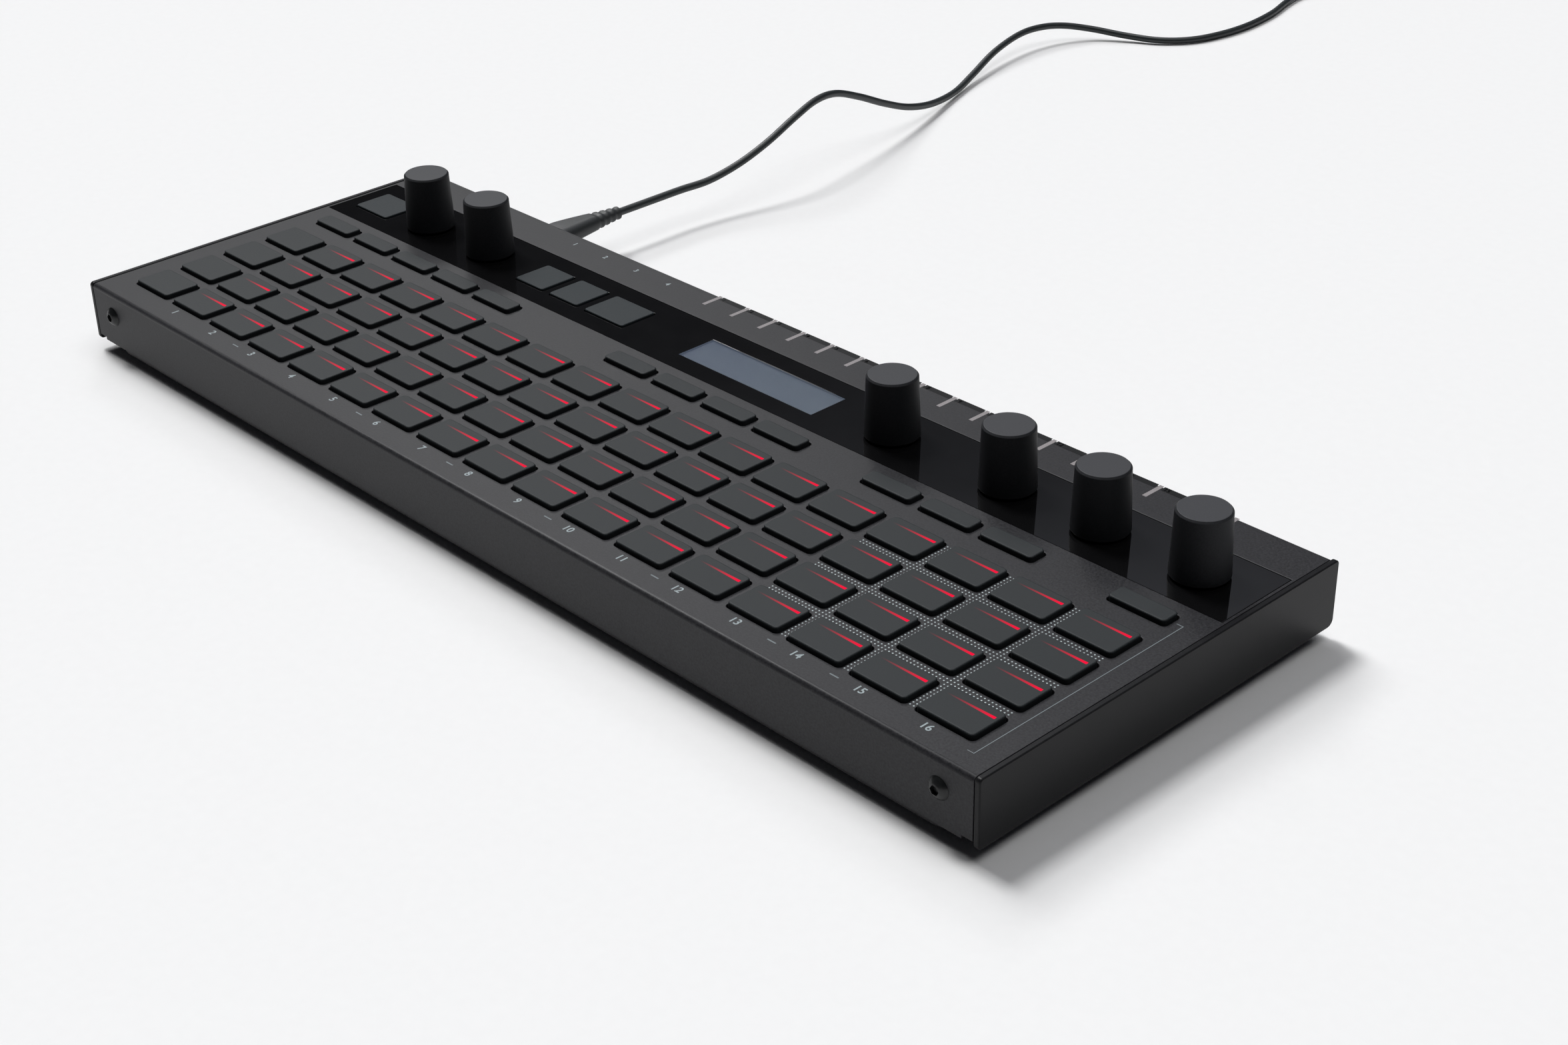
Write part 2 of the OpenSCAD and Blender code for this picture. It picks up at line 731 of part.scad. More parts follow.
// One key: a cap with softened top edges, a wider flange that stays under its hole, and a post
module key(w, d, r, top, flange_top, flange_t, lap, post, post_d) {
    translate([0, 0, flange_top - flange_t]) linear_extrude(flange_t)
        round_rect(w + 2 * lap, d + 2 * lap, r + lap / 2);
    intersection() {
        translate([0, 0, flange_top - flange_t / 2]) linear_extrude(top) round_rect(w, d, r);
        along_x(-w, w) key_edge_profile(d, top);
        along_y(-d, d) key_edge_profile(w, top);
    }
    if (post > 0) rod_z(0, 0, flange_top - flange_t - post, flange_top - flange_t / 2, post_d);
}

module key_edge_profile(w, top) {
    translate([-w / 2, 0]) square([w, top - key_edge]);
    translate([-w / 2 + key_edge, 0]) square([w - 2 * key_edge, top]);
    for (s = [-1, 1]) translate([s * (w / 2 - key_edge), top - key_edge]) circle(key_edge);
}

module pad() {
    key(pad_w, pad_d, key_r, key_top, key_flange_top, key_flange_t, key_gap + key_lap, key_post, key_post_d);
}

module pads(r, first, last) {
    color(pad_grey) for (j = [first : last]) translate([col_x(j), row_y(r), 0]) pad();
}

module track_pads() {
    for (r = [0 : pad_rows - 1]) pads(r, 0, 0);
}

module narrow_button(i) {
    color(pad_grey) translate([col_x(narrow_cols[i]), narrow_y, 0])
        key(pad_w, narrow_d, key_r, key_top, key_flange_top, key_flange_t, key_gap + key_lap,
            key_post, narrow_post_d);
}

module panel_button(i) {
    color([0.5, 0.52, 0.56]) translate([button_x[i], panel_mid_y, 0])
        key(button_w[i], button_d, button_r, button_top, button_flange_top, button_flange_t,
            button_lap, 0, 0);
}

module rear_jacks() {
    color(black) for (x = jack_x) difference() {
        union() {
            block(x - jack_w / 2, x + jack_w / 2, wall_in_y - jack_body_front, wall_in_y - jack_wall_gap,
                jack_z - jack_half_h, jack_z + jack_half_h);
            rod_y(x, jack_z, wall_in_y - sleeve_root, rear_y + nut_t, sleeve_d);
        }
        rod_y(x, jack_z, rear_y + nut_t - jack_depth, rear_y + nut_t + over, jack_bore);
    }
}

module jack_nuts() {
    color(steel) for (x = jack_x) difference() {
        rod_y(x, jack_z, rear_y, rear_y + nut_t, nut_d);
        rod_y(x, jack_z, rear_y - over, rear_y + nut_t + over, sleeve_d + 2 * nut_gap);
    }
}

// Metal shell on four legs, open to the rear
module usb_socket() {
    color(steel) translate([plug_x, 0, 0]) difference() {
        union() {
            translate([0, 0, jack_z]) along_y(wall_in_y - socket_l, wall_in_y)
                round_rect(socket_w, socket_h, socket_h / 2 - slice);
            for (x = [-1, 1], y = [socket_leg, socket_l - socket_leg])
                block(x * socket_w / 4 - socket_leg / 2, x * socket_w / 4 + socket_leg / 2,
                    wall_in_y - y - socket_leg / 2, wall_in_y - y + socket_leg / 2,
                    jack_board_top, jack_z - socket_h / 2 + socket_wall / 2);
        }
        translate([0, 0, jack_z]) along_y(wall_in_y - socket_l + socket_wall, wall_in_y + over)
            round_rect(socket_w - 2 * socket_wall, socket_h - 2 * socket_wall,
                socket_h / 2 - socket_wall - slice);
    }
}

// Plug with a metal tip in the socket, a flat moulded body and a tapering strain relief
module usb_plug() {
    body_y = rear_y + plug_wall_gap;
    taper_y = body_y + plug_body_l;
    collar_y = relief_end_y - relief_collar;
    color(black) translate([plug_x, 0, jack_z]) {
        along_y(wall_in_y - plug_tip_l, body_y + over)
            round_rect(plug_tip_w, plug_tip_h, plug_tip_h / 2 - slice);
        along_y(body_y, taper_y) round_rect(plug_body_w, plug_body_h, plug_body_h / 2 - slice);
        hull() {
            along_y(taper_y - slice, taper_y) round_rect(plug_body_w, plug_body_h, plug_body_h / 2 - slice);
            rod_y(0, 0, collar_y, collar_y + slice, relief_end_d);
        }
        rod_y(0, 0, collar_y, relief_end_y, relief_end_d);
    }
}

// Smooth curve through points: position between point i and the next at share t
function curve(p, i, t) =
    let (
        n = len(p) - 1,
        a = p[max(i - 1, 0)],
        b = p[i],
        c = p[min(i + 1, n)],
        d = p[min(i + 2, n)]
    )
    0.5 * (2 * b + (c - a) * t + (2 * a - 5 * b + 4 * c - d) * t * t + (3 * b - a - 3 * c + d) * t * t * t);

function smooth_path(p, steps) = concat(
    [for (i = [0 : len(p) - 2], s = [0 : steps - 1]) curve(p, i, s / steps)],
    [p[len(p) - 1]]
);

function unit(v) = v / norm(v);

function heading(p, i) = unit(p[min(i + 1, len(p) - 1)] - p[max(i - 1, 0)]);

// Ring of points round path point i, square to the path
function ring(p, i, d, sides) =
    let (
        t = heading(p, i),
        side = unit(cross(t, [0, 0, 1])),
        up = cross(side, t)
    )
    [for (k = [0 : sides - 1]) p[i] + d / 2 * (cos(360 * k / sides) * side + sin(360 * k / sides) * up)];

// Tube along a path, closed at both ends
module tube(p, d, sides) {
    rings = [for (i = [0 : len(p) - 1]) each ring(p, i, d, sides)];
    last = (len(p) - 1) * sides;
    walls = [
        for (i = [0 : len(p) - 2], k = [0 : sides - 1])
            let (a = i * sides + k, b = i * sides + (k + 1) % sides)
            each [[a, b, a + sides], [b, b + sides, a + sides]]
    ];
    start = [for (k = [1 : sides - 2]) [0, k + 1, k]];
    end = [for (k = [1 : sides - 2]) [last, last + k, last + k + 1]];
    polyhedron(rings, concat(start, walls, end));
}

module cord_run() {
    color(black) tube(smooth_path(cord_route, cord_steps), cord_d, cord_sides);
}

// Coil: one layer spirals in on the tie, climbs in the half turn where it reverses, and spirals out above
function coil_radius(a) = coil_inner_r + coil_pitch * abs(a - coil_mid) / 360;
function coil_climb(a) = min(1, max(0, (a - coil_mid + 90) / 180));
function ease(t) = t * t * (3 - 2 * t);
function coil_point(a) = [
    coil_x + coil_radius(a) * cos(a),
    coil_y + coil_radius(a) * sin(a),
    coil_low + (coil_high - coil_low) * ease(coil_climb(a))
];
coil_steps = round(coil_turns * coil_loop_rings);
coil_path = concat(
    [coil_start],
    [for (i = [0 : coil_steps]) coil_point(360 * coil_turns * i / coil_steps)],
    [[coil_x - coil_out + coil_lead, far_y, coil_high], [far_x, far_y, coil_high]]
);
coil_self_gap = min([
    for (i = [0 : len(coil_path) - 1], k = [i + coil_loop_rings / 2 : len(coil_path) - 1])
        norm(coil_path[i] - coil_path[k])
]) - cord_d;
echo(coil_self_gap = coil_self_gap);

module cord_coil() {
    color(black) tube(coil_path, cord_d, coil_sides);
}

// Flat band round the turns
module coil_tie() {
    low = coil_low - cord_d / 2 - tie_gap;
    high = coil_high + cord_d / 2 + tie_gap;
    inner = coil_inner_r - cord_d / 2 - tie_side_gap;
    outer = coil_outer_r + cord_d / 2 + tie_side_gap;
    color(black) translate([coil_x, coil_y, 0]) rotate(tie_angle)
        along_y(-tie_w / 2, tie_w / 2) difference() {
            translate([inner - tie_t, low - tie_t])
                square([outer - inner + 2 * tie_t, high - low + 2 * tie_t]);
            translate([inner, low]) square([outer - inner, high - low]);
        }
}

// Plug at the far end, lying beside the coil
module far_plug() {
    body_x = far_x - far_relief_l;
    shell_x = body_x - far_body_l;
    color(black) translate([0, far_y, coil_high]) {
        hull() {
            translate([far_x, 0, 0]) rotate([0, -90, 0]) cylinder(d = relief_end_d, h = over);
            translate([body_x, 0, 0]) rotate([0, -90, 0]) cylinder(d = far_relief_d, h = over);
        }
        along_x(shell_x, body_x) round_rect(far_body_w, far_body_h, far_body_r);
        along_x(shell_x - far_shell_l, shell_x) round_rect(far_shell_w, far_shell_h, far_shell_r);
    }
}

top_cover();
left_cheek();
right_cheek();
base_pan();
feet();
front_screws();
chassis_screws();
control_panel();
display_lens();
display_module();
panel_board();
jack_board();
dome_mat();
encoders();
rear_jacks();
jack_nuts();
usb_socket();
for (i = [0 : len(knob_x) - 1]) {
    shaft(i);
    knob(i);
}
for (i = [0 : len(narrow_cols) - 1])
    narrow_button(i);
for (i = [0 : len(button_x) - 1])
    panel_button(i);
track_pads();
for (r = [0 : pad_rows - 1]) {
    pads(r, 1, half_cols);
    pads(r, half_cols + 1, pad_cols - 1);
}
usb_plug();
cord_run();
cord_coil();
coil_tie();
far_plug();
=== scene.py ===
import math

import bmesh
import bpy
from mathutils import Matrix, Vector


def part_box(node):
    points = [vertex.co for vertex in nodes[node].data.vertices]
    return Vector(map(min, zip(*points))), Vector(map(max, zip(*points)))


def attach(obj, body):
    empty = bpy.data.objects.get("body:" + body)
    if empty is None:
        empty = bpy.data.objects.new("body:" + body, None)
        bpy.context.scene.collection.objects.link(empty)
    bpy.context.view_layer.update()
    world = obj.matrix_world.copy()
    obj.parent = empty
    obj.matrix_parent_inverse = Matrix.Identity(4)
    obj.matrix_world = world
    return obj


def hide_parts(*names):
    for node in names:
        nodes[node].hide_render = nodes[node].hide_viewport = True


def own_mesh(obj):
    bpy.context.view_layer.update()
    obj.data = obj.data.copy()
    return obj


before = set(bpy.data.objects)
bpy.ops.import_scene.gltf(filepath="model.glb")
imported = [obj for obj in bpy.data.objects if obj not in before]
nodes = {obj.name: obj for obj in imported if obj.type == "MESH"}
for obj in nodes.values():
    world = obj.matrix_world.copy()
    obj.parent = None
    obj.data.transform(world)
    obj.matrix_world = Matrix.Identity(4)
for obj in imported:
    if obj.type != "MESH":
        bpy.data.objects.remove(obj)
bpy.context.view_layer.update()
scene = bpy.context.scene
mm = 0.001                                  # sizes are in millimetres, but for the camera's place and the floor
print("frame loaded,", len(nodes), "nodes")


def hexColour(text):
    parts = [int(text[i:i + 2], 16) / 255 for i in (1, 3, 5)]
    return [c / 12.92 if c <= 0.04045 else ((c + 0.055) / 1.055) ** 2.4 for c in parts] + [1.0]


# Settings are a node's own options, its inputs' values or a ramp's stops, and links are outputs that feed its
# inputs
def addNode(tree, kind, settings=None, links=None):
    node = tree.nodes.new(kind)
    for key, value in (settings or {}).items():
        if key == "stops":
            ramp = node.color_ramp.elements
            while len(ramp) < len(value):
                ramp.new(0.5)
            for i, (place, colour) in enumerate(value):
                ramp[i].position = place
                ramp[i].color = colour
        elif isinstance(key, str) and hasattr(node, key):
            setattr(node, key, value)
        else:
            node.inputs[key].default_value = value
    for key, socket in (links or {}).items():
        tree.links.new(socket, node.inputs[key])
    return node


def startMaterial(name):
    material = bpy.data.materials.new(name)
    material.use_nodes = True
    material.node_tree.nodes.clear()
    return material, material.node_tree


noiseLow, noiseHigh = 0.3, 0.7              # most of a noise's values lie between these


# A surface whose colour, gloss and relief vary with one grain. The real grit of these finishes, about 0.1 to
# 0.2 mm, would not show in the render, so it is drawn at 0.3 mm and more
def grainedShader(spec):
    material, tree = startMaterial(spec["name"])
    place = addNode(tree, "ShaderNodeTexCoord").outputs["Object"]
    grain = addNode(tree, "ShaderNodeTexNoise",
                    {"Scale": 1 / (spec["grain"] * mm), "Detail": 3.0, "Roughness": spec.get("grainRough", 0.6)},
                    {"Vector": place})
    cloud = addNode(tree, "ShaderNodeTexNoise", {"Scale": 1 / (spec.get("cloud", 25) * mm), "Detail": 2.0},
                    {"Vector": place})
    both = addNode(tree, "ShaderNodeMix", {"Factor": spec.get("cloudShare", 0.3)},
                   {"A": grain.outputs["Fac"], "B": cloud.outputs["Fac"]})
    stops = ((noiseLow, hexColour(spec["dark"])), (noiseHigh, hexColour(spec["light"])))
    tone = addNode(tree, "ShaderNodeValToRGB", {"stops": stops}, {"Fac": both.outputs["Result"]})
    gloss = addNode(tree, "ShaderNodeMapRange", {"From Min": noiseLow, "From Max": noiseHigh,
                                                 "To Min": spec["rough"][0], "To Max": spec["rough"][1]},
                    {"Value": both.outputs["Result"]})
    relief = addNode(tree, "ShaderNodeBump", {"Strength": 1.0, "Distance": spec["depth"] * mm},
                     {"Height": grain.outputs["Fac"]})
    fixed = {"Metallic": spec.get("metallic", 0.0)}
    for key, socket in (("ior", "IOR"), ("specular", "Specular IOR Level")):
        if key in spec:
            fixed[socket] = spec[key]
    shader = addNode(tree, "ShaderNodeBsdfPrincipled", fixed,
                     {"Base Color": tone.outputs["Color"], "Roughness": gloss.outputs["Result"],
                      "Normal": relief.outputs["Normal"]})
    addNode(tree, "ShaderNodeOutputMaterial", {}, {"Surface": shader.outputs["BSDF"]})
    return material, tree, tone, shader


def grainedFinish(spec):
    return grainedShader(spec)[0]


# Sheet steel with a baked powder coat: a fine even grit that breaks up the light
powderCoat = grainedFinish({"name": "steelPowderCoated", "dark": "#19191c", "light": "#353538", "grain": 0.55,
                            "cloud": 60, "cloudShare": 0.1, "rough": (0.38, 0.5), "depth": 0.02, "ior": 1.5,
                            "specular": 0.22})
# The same coat on the plain cheeks, laid smoother, so that they mirror the floor a little, and painted darker than
# the cover, standing in for the shade that these sides are in
cheekCoatShadeDarkened = grainedFinish({"name": "steelPowderCoatedSmooth", "dark": "#161618", "light": "#1d1d1f", "grain": 0.45,
                           "cloud": 60, "cloudShare": 0.15, "rough": (0.3, 0.4), "depth": 0.008, "ior": 1.5,
                           "specular": 0.15})
# Black oxide on a machine screw: dark, smooth, with a dull glint
blackOxide = grainedFinish({"name": "steelBlackOxide", "dark": "#0e0f10", "light": "#191b1c", "grain": 0.3,
                            "rough": (0.3, 0.4), "depth": 0.004, "ior": 1.5, "specular": 0.4})
# Injection-moulded ABS with spark-eroded texture: deep black flanks that stay matte, and a top painted paler than
# the flanks, standing in for the light that falls on it
knobPlastic = grainedFinish({"name": "absSparkEroded", "dark": "#242528", "light": "#2c2d30", "grain": 0.4,
                             "cloudShare": 0.1, "rough": (0.5, 0.6), "depth": 0.01, "ior": 1.5, "specular": 0.14})
knobTopPaintedLit = grainedFinish({"name": "absSparkErodedTop", "dark": "#3c3d41", "light": "#454649", "grain": 0.4,
                                "cloudShare": 0.1, "rough": (0.46, 0.56), "depth": 0.008, "ior": 1.5,
                                "specular": 0.18})
# Polished acrylic: mirror-like over black, with a trace of unevenness
panelAcrylic = grainedFinish({"name": "acrylicPolishedBlack", "dark": "#0d0d0e", "light": "#121213", "grain": 9,
                              "cloud": 40, "rough": (0.02, 0.04), "depth": 0.0008, "ior": 1.49})
# Smoky moulded silicone of the panel's keys: a cool grey that stays soft
buttonSilicone = grainedFinish({"name": "siliconeSmokeGrey", "dark": "#262b2e", "light": "#2f3538", "grain": 0.5,
                                "rough": (0.45, 0.6), "depth": 0.008, "ior": 1.43, "specular": 0.18})
# Fibreglass board under green solder mask: an even, slightly shiny green
boardMask = grainedFinish({"name": "fibreglassSolderMask", "dark": "#0f3a1f", "light": "#17502c", "grain": 1.2,
                           "rough": (0.3, 0.4), "depth": 0.01})
# Milky moulded silicone of the dome mat: pale and soft
matSilicone = grainedFinish({"name": "siliconeMilky", "dark": "#b9b8b2", "light": "#c8c7c1", "grain": 1.5,
                             "rough": (0.5, 0.65), "depth": 0.01, "ior": 1.43})
# Nickel plate on turned brass: bright, with turning lines that are too fine to show one by one
nickelPlate = grainedFinish({"name": "brassNickelPlated", "dark": "#a8a7a3", "light": "#c3c2bd", "grain": 0.6,
                             "rough": (0.2, 0.34), "depth": 0.004, "metallic": 1.0})
# Glass-filled moulded nylon of the jack bodies: flat black
jackNylon = grainedFinish({"name": "nylonMouldedBlack", "dark": "#0e0e0f", "light": "#181819", "grain": 0.5,
                           "rough": (0.5, 0.65), "depth": 0.01})
# Moulded rubber feet: dusty black
footRubber = grainedFinish({"name": "rubberMouldedFoot", "dark": "#121212", "light": "#1d1d1d", "grain": 0.6,
                            "rough": (0.7, 0.85), "depth": 0.02})
# Extruded PVC jacket and moulded plugs: satin charcoal
cordJacket = grainedFinish({"name": "pvcExtrudedCord", "dark": "#1d2224", "light": "#262c2e", "grain": 0.8,
                            "cloud": 30, "rough": (0.4, 0.52), "depth": 0.012, "ior": 1.53})
plugMould = grainedFinish({"name": "pvcMouldedPlug", "dark": "#232527", "light": "#2d3032", "grain": 0.5,
                           "rough": (0.45, 0.58), "depth": 0.012, "ior": 1.53})


# Screen-printed inks: thin, flat and a little uneven
def ink(name, dark, light, **other):
    return grainedFinish(dict({"name": name, "dark": dark, "light": light, "grain": 0.5, "rough": (0.5, 0.65),
                               "depth": 0.004}, **other))


dotInk = ink("inkScreenPrintedPale", "#a8b4b6", "#bcc7c9")
numeralInk = ink("inkScreenPrintedGrey", "#929ea2", "#a5b1b4")
lineInk = ink("inkScreenPrintedDull", "#6b7578", "#7c868a")
markInk = ink("inkScreenPrintedWarm", "#837e7f", "#959091")         # the marks over the jacks
stripInk = ink("inkScreenPrintedBlack", "#0d0e10", "#151618", rough=(0.45, 0.55), specular=0.15)
print("plain finishes made")


# Moulded silicone pads: matte, cool dark grey
padSpec = {"dark": "#272a2c", "light": "#2f3335", "grain": 0.5, "grainRough": 0.5, "cloudShare": 0.0,
           "rough": (0.5, 0.62), "depth": 0.012, "ior": 1.43, "specular": 0.25}
# The lit ones pass a red wedge of light through a slot in the paint, read from each pad's own map: bright at the
# right, thinning out to the left
padGlow = {"colour": "#ff083c", "strength": 1.0, "slot": "#1c0508", "fromRear": 2.75, "rightGap": 1.0,
           "length": 13.4, "thick": 0.84, "thin": 0.3, "soft": 0.16, "fade": 1.5, "endOut": 0.12, "endIn": 0.05,
           "padW": 15.8, "padD": 10.5}


def litPad(spec, glow):
    material, tree, tone, shader = grainedShader(spec)
    gap, padW = glow["rightGap"], glow["padW"]
    uv = addNode(tree, "ShaderNodeUVMap", {"uv_map": "padMap"})
    split = addNode(tree, "ShaderNodeSeparateXYZ", {}, {"Vector": uv.outputs["UV"]})
    # 0 where the wedge ends at the left, 1 at its bright end
    along = addNode(tree, "ShaderNodeMapRange",
                    {"From Min": 1 - (gap + glow["length"]) / padW, "From Max": 1 - gap / padW},
                    {"Value": split.outputs["X"]})
    inside = addNode(tree, "ShaderNodeMapRange",
                     {"From Min": 1 - (gap - glow["endOut"]) / padW, "From Max": 1 - (gap + glow["endIn"]) / padW},
                     {"Value": split.outputs["X"]})
    half = addNode(tree, "ShaderNodeMapRange", {"To Min": glow["thin"] / 2, "To Max": glow["thick"] / 2},
                   {"Value": along.outputs["Result"]})
    fromRear = addNode(tree, "ShaderNodeMapRange", {"To Min": glow["padD"], "To Max": 0.0, "clamp": False},
                       {"Value": split.outputs["Y"]})
    offset = addNode(tree, "ShaderNodeMath", {"operation": "SUBTRACT", 1: glow["fromRear"]},
                     {0: fromRear.outputs["Result"]})
    away = addNode(tree, "ShaderNodeMath", {"operation": "ABSOLUTE"}, {0: offset.outputs["Value"]})
    over = addNode(tree, "ShaderNodeMath", {"operation": "SUBTRACT"},
                   {0: away.outputs["Value"], 1: half.outputs["Result"]})
    edge = addNode(tree, "ShaderNodeMapRange", {"From Min": -glow["soft"] / 2, "From Max": glow["soft"] / 2,
                                                "To Min": 1.0, "To Max": 0.0}, {"Value": over.outputs["Value"]})
    fade = addNode(tree, "ShaderNodeMath", {"operation": "POWER", 1: glow["fade"]}, {0: along.outputs["Result"]})
    cut = addNode(tree, "ShaderNodeMath", {"operation": "MULTIPLY"},
                  {0: fade.outputs["Value"], 1: inside.outputs["Result"]})
    power = addNode(tree, "ShaderNodeMath", {"operation": "MULTIPLY"},
                    {0: cut.outputs["Value"], 1: edge.outputs["Result"]})
    bright = addNode(tree, "ShaderNodeMath", {"operation": "MULTIPLY", 1: glow["strength"]},
                     {0: power.outputs["Value"]})
    painted = addNode(tree, "ShaderNodeMix", {"data_type": "RGBA", 7: hexColour(glow["slot"])},
                      {0: power.outputs["Value"], 6: tone.outputs["Color"]})
    dull = addNode(tree, "ShaderNodeMapRange", {"To Min": spec["specular"], "To Max": 0.0},
                   {"Value": power.outputs["Value"]})
    shader.inputs["Emission Color"].default_value = hexColour(glow["colour"])
    tree.links.new(dull.outputs["Result"], shader.inputs["Specular IOR Level"])
    tree.links.new(painted.outputs[2], shader.inputs["Base Color"])
    tree.links.new(bright.outputs["Value"], shader.inputs["Emission Strength"])
    return material


padPlain = grainedFinish(dict(padSpec, name="siliconePadMatte"))
padLit = litPad(dict(padSpec, name="siliconePadLit"), padGlow)

# Lit display glass: a cool cloudy glow, a little bluer at its left
displaySpec = {"fromX": -16, "toX": 35, "cloud": 9, "cloudShare": 0.45, "left": "#555d6c", "right": "#5a626d",
               "glass": "#15171a", "strength": 1.15}


def displayFinish(spec):
    material, tree = startMaterial("displayGlassLit")
    place = addNode(tree, "ShaderNodeTexCoord").outputs["Object"]
    split = addNode(tree, "ShaderNodeSeparateXYZ", {}, {"Vector": place})
    along = addNode(tree, "ShaderNodeMapRange", {"From Min": spec["fromX"] * mm, "From Max": spec["toX"] * mm},
                    {"Value": split.outputs["X"]})
    cloud = addNode(tree, "ShaderNodeTexNoise", {"Scale": 1 / (spec["cloud"] * mm), "Detail": 1.0},
                    {"Vector": place})
    mixed = addNode(tree, "ShaderNodeMix", {"Factor": spec["cloudShare"]},
                    {"A": along.outputs["Result"], "B": cloud.outputs["Fac"]})
    tone = addNode(tree, "ShaderNodeValToRGB",
                   {"stops": ((0.2, hexColour(spec["left"])), (0.8, hexColour(spec["right"])))},
                   {"Fac": mixed.outputs["Result"]})
    shader = addNode(tree, "ShaderNodeBsdfPrincipled", {"Base Color": hexColour(spec["glass"]), "Roughness": 0.25,
                                                        "Emission Strength": spec["strength"]},
                     {"Emission Color": tone.outputs["Color"]})
    addNode(tree, "ShaderNodeOutputMaterial", {}, {"Surface": shader.outputs["BSDF"]})
    return material


# Clear polished acrylic over the display: glossy, with a breath of haze 12 mm across
def lensFinish():
    material, tree = startMaterial("acrylicClearWindow")
    place = addNode(tree, "ShaderNodeTexCoord")
    haze = addNode(tree, "ShaderNodeTexNoise", {"Scale": 1 / (12 * mm)}, {"Vector": place.outputs["Object"]})
    gloss = addNode(tree, "ShaderNodeMapRange", {"To Min": 0.01, "To Max": 0.05}, {"Value": haze.outputs["Fac"]})
    shader = addNode(tree, "ShaderNodeBsdfPrincipled", {"Base Color": hexColour("#e4e8ec"), "IOR": 1.49,
                                                        "Transmission Weight": 1.0},
                     {"Roughness": gloss.outputs["Result"]})
    addNode(tree, "ShaderNodeOutputMaterial", {}, {"Surface": shader.outputs["BSDF"]})
    return material


displayGlow = displayFinish(displaySpec)
lensClear = lensFinish()
print("lit finishes made")


def linked(name, data):
    thing = bpy.data.objects.new(name, data)
    scene.collection.objects.link(thing)
    return thing


# Camera at the photo's own place, solved from the pad grid
cameraSpec = {"place": (0.42636, -0.34961, 0.29927), "lens": 56.045, "sensor": 36.0, "clip": (0.01, 50),
              "right": (0.68997843, 0.72361301, -0.01771953), "back": (0.63463964, -0.59300568, 0.49555705)}


def addCamera(spec):
    data = bpy.data.cameras.new("photoCamera")
    data.lens = spec["lens"]
    data.sensor_width = spec["sensor"]
    data.clip_start, data.clip_end = spec["clip"]
    camera = linked("photoCamera", data)
    right = Vector(spec["right"]).normalized()
    back = Vector(spec["back"]).normalized()
    turn = Matrix((right, back.cross(right), back)).transposed()
    camera.matrix_world = Matrix.Translation(spec["place"]) @ turn.to_4x4()
    scene.camera = camera


addCamera(cameraSpec)


def meshPiece(name, mesh, finish, body, replaced=(), smoothAngle=35):
    piece = linked(name, mesh)
    mesh.materials.clear()
    mesh.materials.append(finish)
    mesh.shade_smooth()
    mesh.set_sharp_from_angle(angle=math.radians(smoothAngle))
    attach(piece, body)
    if replaced:
        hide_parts(*replaced)
    return piece


# Turns a helper object's evaluated shape into a plain mesh and drops the helper
def plainMesh(holder):
    mesh = bpy.data.meshes.new_from_object(holder.evaluated_get(bpy.context.evaluated_depsgraph_get()))
    bpy.data.objects.remove(holder)
    return mesh


# Runs each step on a mesh and writes the result back
def edited(mesh, *steps):
    bm = bmesh.new()
    bm.from_mesh(mesh)
    for step in steps:
        step(bm)
    bm.to_mesh(mesh)
    bm.free()
    return mesh


def mergeDoubles(bm):
    bmesh.ops.remove_doubles(bm, verts=bm.verts, dist=1e-6)


def turnOutward(bm):
    bmesh.ops.recalc_face_normals(bm, faces=bm.faces)


# Copies a solid's loose triangles, merges them and runs the steps
def mergedCopy(node, *steps):
    mesh = nodes[node].data.copy()
    mesh.attributes.remove(mesh.attributes["custom_normal"])
    return edited(mesh, mergeDoubles, *steps)


# Joins rings of equally many points into a closed skin, with a face over the first and the last ring
def skin(name, rings, closed=True):
    count = len(rings[0])
    points = [Vector(p) * mm for ring in rings for p in ring]
    faces = []
    for i in range(len(rings) - 1):
        for k in range(count):
            a, b = i * count + k, i * count + (k + 1) % count
            faces.append((a, b, b + count, a + count))
    if closed:
        faces.append(tuple(reversed(range(count))))
        faces.append(tuple(range((len(rings) - 1) * count, len(rings) * count)))
    mesh = bpy.data.meshes.new(name)
    mesh.from_pydata(points, [], faces)
    mesh.validate()
    return edited(mesh, turnOutward)


def circle(r, count, shift=0.0):
    angles = [2 * math.pi * (k + shift) / count for k in range(count)]
    return [(r * math.cos(angle), r * math.sin(angle)) for angle in angles]


# Outline of a rectangle with round corners, counter-clockwise
def roundedOutline(w, d, r, z=0.0, perCorner=6):
    ring = []
    for quarter, (sx, sy) in enumerate(((1, 1), (-1, 1), (-1, -1), (1, -1))):
        for k in range(perCorner + 1):
            angle = math.pi / 2 * (quarter + k / perCorner)
            ring.append((sx * (w / 2 - r) + r * math.cos(angle), sy * (d / 2 - r) + r * math.sin(angle), z))
    return ring


hair = 0.02                                 # keeps the straight part between two round corners from vanishing


def eased(t):
    return t * t * (3 - 2 * t)


# The cord: the same route as the solid's, then the coil in two layers, as one line
cordSpec = {"diameter": 2.4, "perPoint": 6, "perTurn": 36, "turns": 6.25, "gap": 0.5, "innerR": 9.8, "out": 8.0,
            "climb": 0.5,                   # share of a turn in which the coil goes up to its second layer
            "route": [(-117, 91, 11.7), (-117, 98, 11.7), (-117, 107, 11.7), (-117, 117, 11.7), (-116, 128, 12),
                      (-115, 140, 14.5), (-114.5, 152, 18.5), (-115.5, 165, 23), (-118, 177, 25), (-120, 188, 24),
                      (-121, 200, 19.5), (-122, 213, 13.5), (-124, 227, 8), (-128, 243, 4), (-134, 261, 2),
                      (-140, 277, 3), (-146, 295, 5.5), (-149.5, 312, 7), (-149.5, 324, 7), (-146.5, 334, 6),
                      (-140, 343, 4), (-129, 350, 2.2), (-118, 356, 1.5), (-110, 365, 1.4), (-106, 378, 1.4),
                      (-105, 393, 1.4), (-107, 410, 1.4), (-111, 425, 1.6), (-113, 436, 1.8), (-113, 446, 1.8)]}


